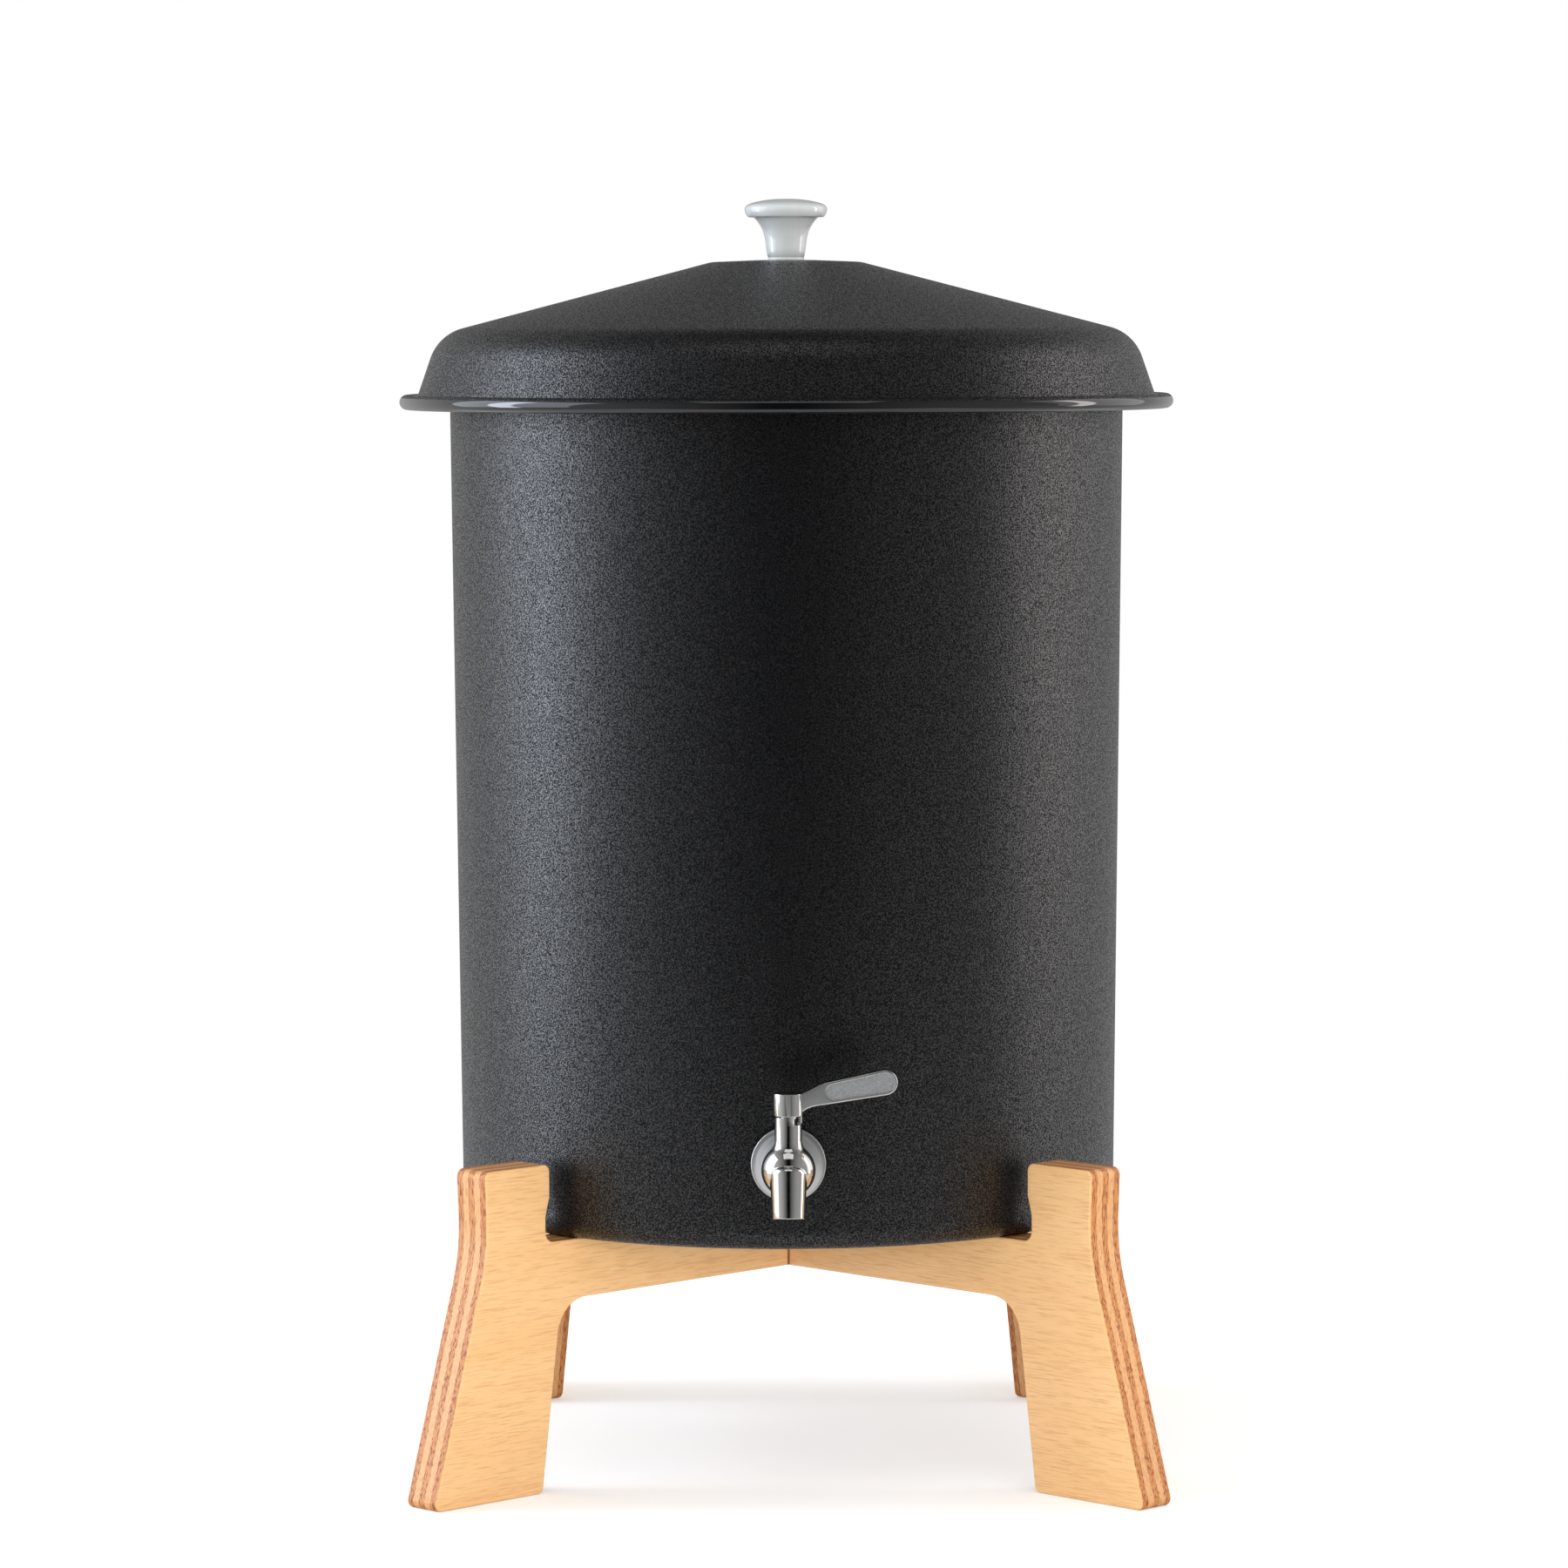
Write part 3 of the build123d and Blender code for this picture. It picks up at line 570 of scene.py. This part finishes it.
def turned_form(name, section, finish, steps=256, crease=35):
    """Carries a section, in millimetres, round the container's axis and places the result."""
    outline = bpy.data.meshes.new(name)
    outline.from_pydata([(p.real * MM, 0, p.imag * MM) for p in section], [], [])
    piece = bpy.data.objects.new(name, outline)
    bpy.context.scene.collection.objects.link(piece)
    turning = piece.modifiers.new("Turned form", "NODES")
    turning.node_group = turned
    turning[sockets["Steps around"].identifier] = steps
    turning[sockets["Weld distance"].identifier] = seamless * MM
    turning[sockets["Finish"].identifier] = finish
    settle(piece)
    piece.data.materials.pop(index=0)  # the grid's own slot, which is empty
    piece.data.transform(Matrix.Translation(axis))
    shape = bmesh.new()
    shape.from_mesh(piece.data)
    bmesh.ops.recalc_face_normals(shape, faces=shape.faces)
    shape.to_mesh(piece.data)
    shape.free()
    piece.data.set_sharp_from_angle(angle=math.radians(crease))
    return piece


def line_inside(piece, finish, middle, also=lambda centre: False):
    """Gives the faces that look towards a middle point the inside's finish."""
    piece.data.materials.append(finish)
    for face in piece.data.polygons:
        if face.normal.dot(face.center - middle) < 0 or also(face.center):
            face.material_index = 1


wall_outside = rounded_line(
    (0, container_bottom, 0),
    (container_base_radius, container_bottom, container_corner_radius),
    (container_top_radius, rim_height, 0),
)
container_section = curled_edge(
    wall_outside,
    inside_of(wall_outside, -container_wall),
    complex(container_top_radius - container_wall + rim_bead_radius, rim_height),
    rim_bead_radius,
)
container = turned_form("container", container_section, textured_enamel)
middle_of_container = axis + Vector((0, 0, (container_bottom + rim_height) / 2 * MM))
line_inside(
    container,
    gloss_enamel,
    middle_of_container,
    lambda centre: centre.z > (rim_height - rim_bead_radius) * MM,
)
drill = bpy.data.objects.new("drill", bpy.data.meshes.new("drill"))
bpy.context.scene.collection.objects.link(drill)
shape = bmesh.new()
bmesh.ops.create_cone(
    shape,
    cap_ends=True,
    segments=64,
    radius1=shank_hole_radius * MM,
    radius2=shank_hole_radius * MM,
    depth=drill_length * MM,
    matrix=Matrix.Translation(axis + Vector((0, -container_base_radius * MM, tap_height * MM)))
    @ Matrix.Rotation(math.radians(90), 4, "X"),
)
shape.to_mesh(drill.data)
shape.free()
hole = container.modifiers.new("Shank hole", "BOOLEAN")
hole.object = drill
hole.solver = "EXACT"
settle(container)
bpy.data.objects.remove(drill)
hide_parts("container_shell")
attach(container, "container")


# -------------------------------------------------------------------------------- tap
# A quarter-turn tap of stainless steel. The body and the lever are investment castings,
# ground and buffed to a mirror; the wall plate is turned and left satin; the paddle's sunk
# panel is bead-blasted. A nut inside the container draws it all against the wall.
steel_colour = "#D3D2CF"
satin_colour = "#CDCECD"
blasted_dark = "#9FA0A1"
blasted_pale = "#FFFFFF"
paddle_front_reach = 2.3
panel_sink = 0.55

# Buffed stainless steel: a mirror with a faint haze and a few long ripples of the casting.
mirror_steel, tree, surface = start_material("buffed_stainless_steel")
place = add_node(tree, "ShaderNodeTexCoord").outputs["Object"]
ripple = add_node(
    tree, "ShaderNodeTexNoise", {"Vector": place, "Scale": 1 / (7 * MM), "Detail": 1.0}
)
bump = add_node(
    tree,
    "ShaderNodeBump",
    {"Height": ripple.outputs["Fac"], "Strength": 0.2, "Distance": 0.12 * MM},
)
haze = add_node(
    tree,
    "ShaderNodeMapRange",
    {
        "Value": ripple.outputs["Fac"],
        "From Min": 0.3,
        "From Max": 0.7,
        "To Min": 0.05,
        "To Max": 0.13,
    },
)
fill_sockets(
    surface,
    {
        "Base Color": linear(steel_colour),
        "Metallic": 1.0,
        "Roughness": haze.outputs["Result"],
        "Normal": bump.outputs["Normal"],
    },
)

# Turned stainless steel: fine rings about the shank, which smear what it reflects.
satin_steel, tree, surface = start_material("turned_stainless_steel")
place = add_node(tree, "ShaderNodeTexCoord").outputs["Object"]
about_shank = add_node(
    tree,
    "ShaderNodeMapping",
    {"Vector": place, "Location": (axis.x, 0, tap_height * MM)},
    vector_type="TEXTURE",
)
rings = add_node(
    tree,
    "ShaderNodeTexWave",
    {"Vector": about_shank.outputs["Vector"], "Scale": 0.05 / (0.35 * MM), "Distortion": 0.6},
    wave_type="RINGS",
    rings_direction="Y",
)
bump = add_node(
    tree,
    "ShaderNodeBump",
    {"Height": rings.outputs["Fac"], "Strength": 0.15, "Distance": 0.02 * MM},
)
smear = add_node(
    tree,
    "ShaderNodeMapRange",
    {"Value": rings.outputs["Fac"], "To Min": 0.36, "To Max": 0.44},
)
fill_sockets(
    surface,
    {
        "Base Color": linear(satin_colour),
        "Metallic": 1.0,
        "Roughness": smear.outputs["Result"],
        "Normal": bump.outputs["Normal"],
    },
)

# Bead-blasted stainless steel: an even grey. Its pits are finer than 0.2 mm and are drawn at
# 0.45 mm to show.
blasted_steel, tree, surface = start_material("blasted_stainless_steel")
place = add_node(tree, "ShaderNodeTexCoord").outputs["Object"]
pits = add_node(
    tree, "ShaderNodeTexNoise", {"Vector": place, "Scale": 1 / (0.45 * MM), "Detail": 1.0}
)
bump = add_node(
    tree,
    "ShaderNodeBump",
    {"Height": pits.outputs["Fac"], "Strength": 0.5, "Distance": 0.12 * MM},
)
speckle = add_node(
    tree,
    "ShaderNodeMix",
    {"Factor": pits.outputs["Fac"], "A": linear(blasted_dark), "B": linear(blasted_pale)},
    data_type="RGBA",
)
fill_sockets(
    surface,
    {
        "Base Color": speckle.outputs["Result"],
        "Metallic": 1.0,
        "Roughness": 0.68,
        "Normal": bump.outputs["Normal"],
    },
)

# Linished stainless steel, for the lever's flat face: dull, with fine scratches along it.
linished_steel, tree, surface = start_material("linished_stainless_steel")
place = add_node(tree, "ShaderNodeTexCoord").outputs["Object"]
lengthwise = add_node(
    tree,
    "ShaderNodeMapping",
    {"Vector": place, "Scale": (1 / (5 * MM), 1 / (2 * MM), 1 / (0.4 * MM))},
)
scratches = add_node(
    tree,
    "ShaderNodeTexNoise",
    {"Vector": lengthwise.outputs["Vector"], "Scale": 1.0, "Detail": 2.0},
)
scratched = add_node(
    tree,
    "ShaderNodeMapRange",
    {"Value": scratches.outputs["Fac"], "To Min": 0.36, "To Max": 0.52},
)
fill_sockets(
    surface,
    {
        "Base Color": linear(satin_colour),
        "Metallic": 1.0,
        "Roughness": scratched.outputs["Result"],
    },
)

wall_plate = smoothed("tap_wall_plate", "tap_escutcheon", satin_steel)
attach(wall_plate, "container")

tap_casting = smoothed("tap_casting", "tap_body", mirror_steel, crease=38)
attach(tap_casting, "container")

# The lever's hub and paddle, buffed, with a linished flat front. The sunk panel is blasted.
lever = smoothed("lever", "tap_lever", mirror_steel, blasted_steel, linished_steel)
tap_axis_y = frame["record"]["behaviour"]["joints"][-1]["pos_m"][1]
panel_y = tap_axis_y - (paddle_front_reach - panel_sink) * MM
for face in lever.data.polygons:
    faces_front = face.normal.y < -0.99
    in_panel = abs(face.center.y - panel_y) < 0.1 * MM
    if faces_front:
        face.material_index = 1 if in_panel else 2
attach(lever, "lever")

# What shows in the gap and the notch under the lever: the plug's neck and the stop pin.
for name, node in (("plug", "tap_plug"), ("stop_pin", "lever_stop_pin")):
    piece = smoothed(name, node, satin_steel)
    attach(piece, "lever")

# Small steel parts that stay as they are: screws, washer and nut, plain turned steel.
for node in (
    "tap_back_washer",
    "tap_nut",
    "stem_retaining_screw",
    "lever_set_screw",
    "knob_screw",
    "knob_backing_washer",
):
    for slot in frame["nodes"][node].material_slots:
        slot.material = satin_steel


# ------------------------------------------------------------------------------ seals
# Moulded black nitrile rubber on both sides of the wall, round the plug and under the lid,
# and a white acetal washer under the plug. All are dull, with a fine mould texture.
rubber_black = "#1B1B1C"
acetal_white = "#E9EAE6"


def moulded(name, colour, roughness):
    """A moulded finish with a 0.6 mm mottle."""
    material, tree, surface = start_material(name)
    place = add_node(tree, "ShaderNodeTexCoord").outputs["Object"]
    mottle = add_node(
        tree, "ShaderNodeTexNoise", {"Vector": place, "Scale": 1 / (0.6 * MM), "Detail": 2.0}
    ).outputs["Fac"]
    value = add_node(
        tree, "ShaderNodeMapRange", {"Value": mottle, "To Min": 0.85, "To Max": 1.15}
    )
    tone = add_node(
        tree,
        "ShaderNodeHueSaturation",
        {"Color": linear(colour), "Value": value.outputs["Result"]},
    )
    bump = add_node(
        tree, "ShaderNodeBump", {"Height": mottle, "Strength": 0.2, "Distance": 0.05 * MM}
    )
    fill_sockets(
        surface,
        {
            "Base Color": tone.outputs["Color"],
            "Roughness": roughness,
            "Normal": bump.outputs["Normal"],
        },
    )
    return material


nitrile_rubber = moulded("nitrile_rubber", rubber_black, 0.6)
acetal = moulded("acetal", acetal_white, 0.35)
for node, finish in (
    ("tap_front_seal", nitrile_rubber),
    ("tap_back_seal", nitrile_rubber),
    ("stem_seals", nitrile_rubber),
    ("knob_seal", nitrile_rubber),
    ("seat_washer", acetal),
):
    for slot in frame["nodes"][node].material_slots:
        slot.material = finish


# ------------------------------------------------------------------------- filter pot
# A thick pot of red clay fired with sawdust, which burns out and leaves it porous. It is
# unglazed, dusty to the touch, with turning marks on its wall and dark pinholes.
pot_low, pot_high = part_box("filter_pot")
pot_reach = (pot_high.x - pot_low.x) / 2 / MM
pot_bottom = pot_low.z / MM
pot_top = pot_high.z / MM
pot_lip_height = 26.2
pot_neck_reach = 152.5
pot_wall = 14.0
pot_base_radius = 118.0
pot_base_thickness = 16.0
pot_foot_rounding = 14.0
pot_bowl_rounding = 7.0
pot_lip_rounding = 4.0
clay_colour = "#B5683F"
clay_pale = "#C98259"
clay_dark = "#8E4A2B"

fired_clay, tree, surface = start_material("fired_red_clay")
place = add_node(tree, "ShaderNodeTexCoord").outputs["Object"]
cloud = add_node(
    tree, "ShaderNodeTexNoise", {"Vector": place, "Scale": 1 / (45 * MM), "Detail": 4.0}
)
clouds = add_node(
    tree,
    "ShaderNodeMix",
    {"Factor": cloud.outputs["Fac"], "A": linear(clay_colour), "B": linear(clay_pale)},
    data_type="RGBA",
)
pinholes = add_node(tree, "ShaderNodeTexVoronoi", {"Vector": place, "Scale": 1 / (3.5 * MM)})
pinhole_mask = add_node(
    tree,
    "ShaderNodeMapRange",
    {
        "Value": pinholes.outputs["Distance"],
        "From Min": 0.1,
        "From Max": 0.22,
        "To Min": 1,
        "To Max": 0,
    },
)
speckled = add_node(
    tree,
    "ShaderNodeMix",
    {
        "Factor": pinhole_mask.outputs["Result"],
        "A": clouds.outputs["Result"],
        "B": linear(clay_dark),
    },
    data_type="RGBA",
)
turning_marks = add_node(
    tree,
    "ShaderNodeTexWave",
    {"Vector": place, "Scale": 0.05 / (2.2 * MM), "Distortion": 1.5, "Detail": 2.0},
    bands_direction="Z",
)
relief = add_node(
    tree,
    "ShaderNodeMath",
    {0: turning_marks.outputs["Fac"], 1: pinhole_mask.outputs["Result"]},
    operation="SUBTRACT",
)
bump = add_node(
    tree,
    "ShaderNodeBump",
    {"Height": relief.outputs["Value"], "Strength": 0.4, "Distance": 0.2 * MM},
)
fill_sockets(
    surface,
    {
        "Base Color": speckled.outputs["Result"],
        "Roughness": 0.88,
        "Normal": bump.outputs["Normal"],
    },
)

pot_lip_bottom = pot_top - pot_lip_height
pot = turned_form(
    "filter_pot_turned",
    rounded_line(
        (0, pot_bottom, 0),
        (pot_base_radius, pot_bottom, pot_foot_rounding),
        (pot_neck_reach, pot_lip_bottom, 0),
        (pot_reach, pot_lip_bottom, 0),
        (pot_reach, pot_top, pot_lip_rounding),
        (pot_neck_reach - pot_wall, pot_top, pot_lip_rounding),
        (pot_base_radius - pot_wall, pot_bottom + pot_base_thickness, pot_bowl_rounding),
        (0, pot_bottom + pot_base_thickness, 0),
    ),
    fired_clay,
)
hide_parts("filter_pot")
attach(pot, "filter")


# -------------------------------------------------------------------------------- lid
# Pressed from one steel sheet: a shallow cone, a rounded shoulder, a flared skirt and a brim
# that is curled into a bead. Cone and skirt have the container's grained enamel; the brim
# and the inside keep the glossy first coat.
lid_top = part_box("lid_shell")[1].z / MM
lid_wall = 1.2
lid_flat_radius = 14.0
lid_top_radius = 35.5
lid_top_fall = 0.9
lid_shoulder_reach = 164.5
lid_slope = math.tan(math.radians(14.7))
lid_skirt_lean = math.tan(math.radians(19.0))
lid_skirt_height = 31.2
lid_top_rounding = 14.0
lid_shoulder_rounding = 22.0
skirt_foot_rounding = 2.4
bead_radius = 3.5
brim_reach = 4.3
brim_fall = 0.6
gloss_starts_inside = 0.6
gloss_starts_above = 1.4
lid_shoulder_height = lid_top - lid_top_fall - (lid_shoulder_reach - lid_top_radius) * lid_slope
skirt_foot = lid_shoulder_height - lid_skirt_height
skirt_foot_reach = lid_shoulder_reach + lid_skirt_height * lid_skirt_lean
bead_centre = complex(skirt_foot_reach + brim_reach, skirt_foot - brim_fall)
lid_outside = rounded_line(
    (0, lid_top, 0),
    (lid_flat_radius, lid_top, lid_top_rounding),
    (lid_top_radius, lid_top - lid_top_fall, lid_top_rounding),
    (lid_shoulder_reach, lid_shoulder_height, lid_shoulder_rounding),
    (skirt_foot_reach, skirt_foot, skirt_foot_rounding),
    (bead_centre.real, bead_centre.imag, 0),
    arc_step=5,
)
lid = turned_form(
    "lid",
    curled_edge(lid_outside, inside_of(lid_outside, lid_wall), bead_centre, bead_radius),
    textured_enamel,
    steps=288,
)


def on_brim(centre):
    """Whether a face lies on the brim, or in the flare above it where the gloss starts."""
    reach = (centre - axis).xy.length / MM
    low_enough = centre.z / MM < skirt_foot + gloss_starts_above
    return low_enough and reach > skirt_foot_reach - gloss_starts_inside


well_below = 100.0
point_under_lid = axis + Vector((0, 0, (skirt_foot - well_below) * MM))
line_inside(lid, gloss_enamel, point_under_lid, on_brim)
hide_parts("lid_shell")
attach(lid, "lid")


# ------------------------------------------------------------------------------- knob
# A mushroom of white glazed porcelain with a brass insert in its stem, on a thin white
# washer. The glaze is thick and glassy, and a little uneven in tone.
glaze_grey = "#C3C7C6"
glaze_white = "#D2D5D4"
brass_colour = "#D8B46A"

porcelain, tree, surface = start_material("glazed_porcelain")
place = add_node(tree, "ShaderNodeTexCoord").outputs["Object"]
glaze = add_node(
    tree, "ShaderNodeTexNoise", {"Vector": place, "Scale": 1 / (9 * MM), "Detail": 2.0}
)
glaze_tone = add_node(
    tree,
    "ShaderNodeMix",
    {"Factor": glaze.outputs["Fac"], "A": linear(glaze_grey), "B": linear(glaze_white)},
    data_type="RGBA",
)
bump = add_node(
    tree,
    "ShaderNodeBump",
    {"Height": glaze.outputs["Fac"], "Strength": 0.08, "Distance": 0.15 * MM},
)
fill_sockets(
    surface,
    {
        "Base Color": glaze_tone.outputs["Result"],
        "Roughness": 0.12,
        "Normal": bump.outputs["Normal"],
        "Coat Weight": 1.0,
        "Coat Roughness": 0.04,
    },
)

knob = smoothed("knob", "lid_knob", porcelain)
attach(knob, "lid")
knob_washer = smoothed("knob_washer_moulded", "knob_washer", acetal)
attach(knob_washer, "lid")

# Turned brass, slightly dulled.
brass, tree, surface = start_material("turned_brass")
place = add_node(tree, "ShaderNodeTexCoord").outputs["Object"]
dulling = add_node(
    tree, "ShaderNodeTexNoise", {"Vector": place, "Scale": 1 / (2 * MM), "Detail": 2.0}
)
dulled = add_node(
    tree,
    "ShaderNodeMapRange",
    {"Value": dulling.outputs["Fac"], "To Min": 0.25, "To Max": 0.45},
)
fill_sockets(
    surface,
    {
        "Base Color": linear(brass_colour),
        "Metallic": 1.0,
        "Roughness": dulled.outputs["Result"],
    },
)
for slot in frame["nodes"]["knob_insert"].material_slots:
    slot.material = brass


# ----------------------------------------------------------------- floor and backdrop
# A pale matt table top under a white surround. It takes the part's shadow, and only rays
# from the camera see it lifted to white.
table_size = 1.3
table_white = "#EFEFEE"
table_mesh = bpy.data.meshes.new("table_top")
half = table_size / 2
table_mesh.from_pydata(
    [(-half, -half, 0), (half, -half, 0), (half, half, 0), (-half, half, 0)], [], [(0, 1, 2, 3)]
)
table = bpy.data.objects.new("table_top", table_mesh)
bpy.context.scene.collection.objects.link(table)
table_paint, tree, surface = start_material("pale_table_top")
tree.nodes.remove(surface)
matt = add_node(tree, "ShaderNodeBsdfDiffuse", {"Color": linear(table_white)})
lift = add_node(tree, "ShaderNodeEmission", {"Strength": 0.35})
lifted = add_node(tree, "ShaderNodeAddShader", {0: matt.outputs[0], 1: lift.outputs[0]})
seen = add_node(tree, "ShaderNodeLightPath").outputs["Is Camera Ray"]
table_look = add_node(
    tree, "ShaderNodeMixShader", {0: seen, 1: matt.outputs[0], 2: lifted.outputs[0]}
)
tree.links.new(table_look.outputs[0], tree.nodes["Material Output"].inputs["Surface"])
table_mesh.materials.append(table_paint)

world = bpy.data.worlds.new("studio")
bpy.context.scene.world = world
world.use_nodes = True
tree = world.node_tree
tree.nodes.clear()
path = add_node(tree, "ShaderNodeLightPath").outputs
fill = add_node(tree, "ShaderNodeBackground", {"Color": (1, 1, 1, 1), "Strength": 0.66})
white = add_node(tree, "ShaderNodeBackground", {"Color": (1, 1, 1, 1), "Strength": 1.0})
# What gloss and metal see: a pale backdrop behind the part, and in front of it a room that is
# dark in the middle and lighter to both sides, most of all to the left.
heading = add_node(tree, "ShaderNodeTexCoord").outputs["Generated"]
rearward = add_node(
    tree, "ShaderNodeVectorMath", {0: heading, 1: (0, 0.9, -0.4)}, operation="DOT_PRODUCT"
)
backdrop = add_node(
    tree,
    "ShaderNodeMapRange",
    {"Value": rearward.outputs["Value"], "From Min": -0.2, "From Max": 0.9, "To Max": 0.37},
)
sideways = add_node(tree, "ShaderNodeSeparateXYZ", {"Vector": heading}).outputs["X"]
aside = add_node(tree, "ShaderNodeMath", {0: sideways}, operation="ABSOLUTE")
farther = add_node(
    tree,
    "ShaderNodeMapRange",
    {"Value": aside.outputs["Value"], "From Min": 0.1, "From Max": 0.9},
)
side_strength = add_node(
    tree,
    "ShaderNodeMapRange",
    {"Value": sideways, "From Min": -1, "From Max": 1, "To Min": 0.65, "To Max": 0.4},
)
room = add_node(
    tree,
    "ShaderNodeMath",
    {
        0: farther.outputs["Result"],
        1: side_strength.outputs["Result"],
        2: backdrop.outputs["Result"],
    },
    operation="MULTIPLY_ADD",
)
surround = add_node(
    tree, "ShaderNodeBackground", {"Color": (1, 1, 1, 1), "Strength": room.outputs["Value"]}
)
mirrored = add_node(
    tree,
    "ShaderNodeMath",
    {0: path["Is Glossy Ray"], 1: path["Is Transmission Ray"]},
    operation="MAXIMUM",
)
lit = add_node(
    tree,
    "ShaderNodeMixShader",
    {0: mirrored.outputs["Value"], 1: fill.outputs[0], 2: surround.outputs[0]},
)
whole = add_node(
    tree, "ShaderNodeMixShader", {0: path["Is Camera Ray"], 1: lit.outputs[0], 2: white.outputs[0]}
)
add_node(tree, "ShaderNodeOutputWorld", {"Surface": whole.outputs[0]})


# ---------------------------------------------------------------------------- lights
# On each side stand a large dim soft box and a narrow bright strip, taller than the part. A
# weak box hangs above the front. One more in front lights the surfaces and isn't mirrored.
cool_white = "#E6F0FF"
warm_white = "#FFF8F6"
plain_white = "#FFFFFF"


def soft_box(name, place, aim, width, height, radiance, colour, mirrored=True):
    """An area lamp of a given radiance, turned towards a point."""
    lamp = bpy.data.lights.new(name, "AREA")
    lamp.shape = "RECTANGLE"
    lamp.size = width
    lamp.size_y = height
    lamp.energy = radiance * math.pi * width * height
    lamp.color = linear(colour)[:3]
    holder = bpy.data.objects.new(name, lamp)
    bpy.context.scene.collection.objects.link(holder)
    holder.location = place
    holder.rotation_euler = (Vector(aim) - Vector(place)).to_track_quat("-Z", "Y").to_euler()
    holder.visible_glossy = mirrored


soft_box("soft_box_left", (-1.5, -0.08, 0.75), (0, 0, 0.3), 1.4, 1.6, 1.95, cool_white)
soft_box("strip_left", (-1.5, -0.04, 0.6), (0, 0, 0.3), 0.26, 1.5, 6.4, cool_white)
soft_box("soft_box_right", (1.5, 0.4, 0.75), (0, 0, 0.3), 1.3, 1.6, 0.7, warm_white)
soft_box("strip_right", (1.5, 0.12, 0.6), (0, 0, 0.3), 0.2, 1.5, 4.0, warm_white)
soft_box("soft_box_above", (0, -0.9, 2.2), (0, 0, 0.2), 1.4, 1.0, 0.9, plain_white)
soft_box(
    "soft_box_front", (0.9, -3.3, 0.4), (0, 0, 0.1), 2.4, 1.6, 5.3, plain_white, mirrored=False
)


# ---------------------------------------------------------------------------- camera
# A long lens almost 3 m before the part, at the height of the lid, looking a little down. It
# is held with a very slight roll.
camera_aside = -0.001
camera_distance = 2.95
camera_height = 0.5376
look_down = 4.272
roll = 0.15
camera_data = bpy.data.cameras.new("camera")
camera_data.sensor_fit = "HORIZONTAL"
camera_data.sensor_width = 36.0
camera_data.lens = 142.66
camera = bpy.data.objects.new("camera", camera_data)
bpy.context.scene.collection.objects.link(camera)
camera.location = (camera_aside, axis.y - camera_distance, camera_height)
camera.rotation_euler = (math.radians(90 - look_down), math.radians(roll), 0)
bpy.context.scene.camera = camera
bpy.context.scene.view_settings.view_transform = "Standard"
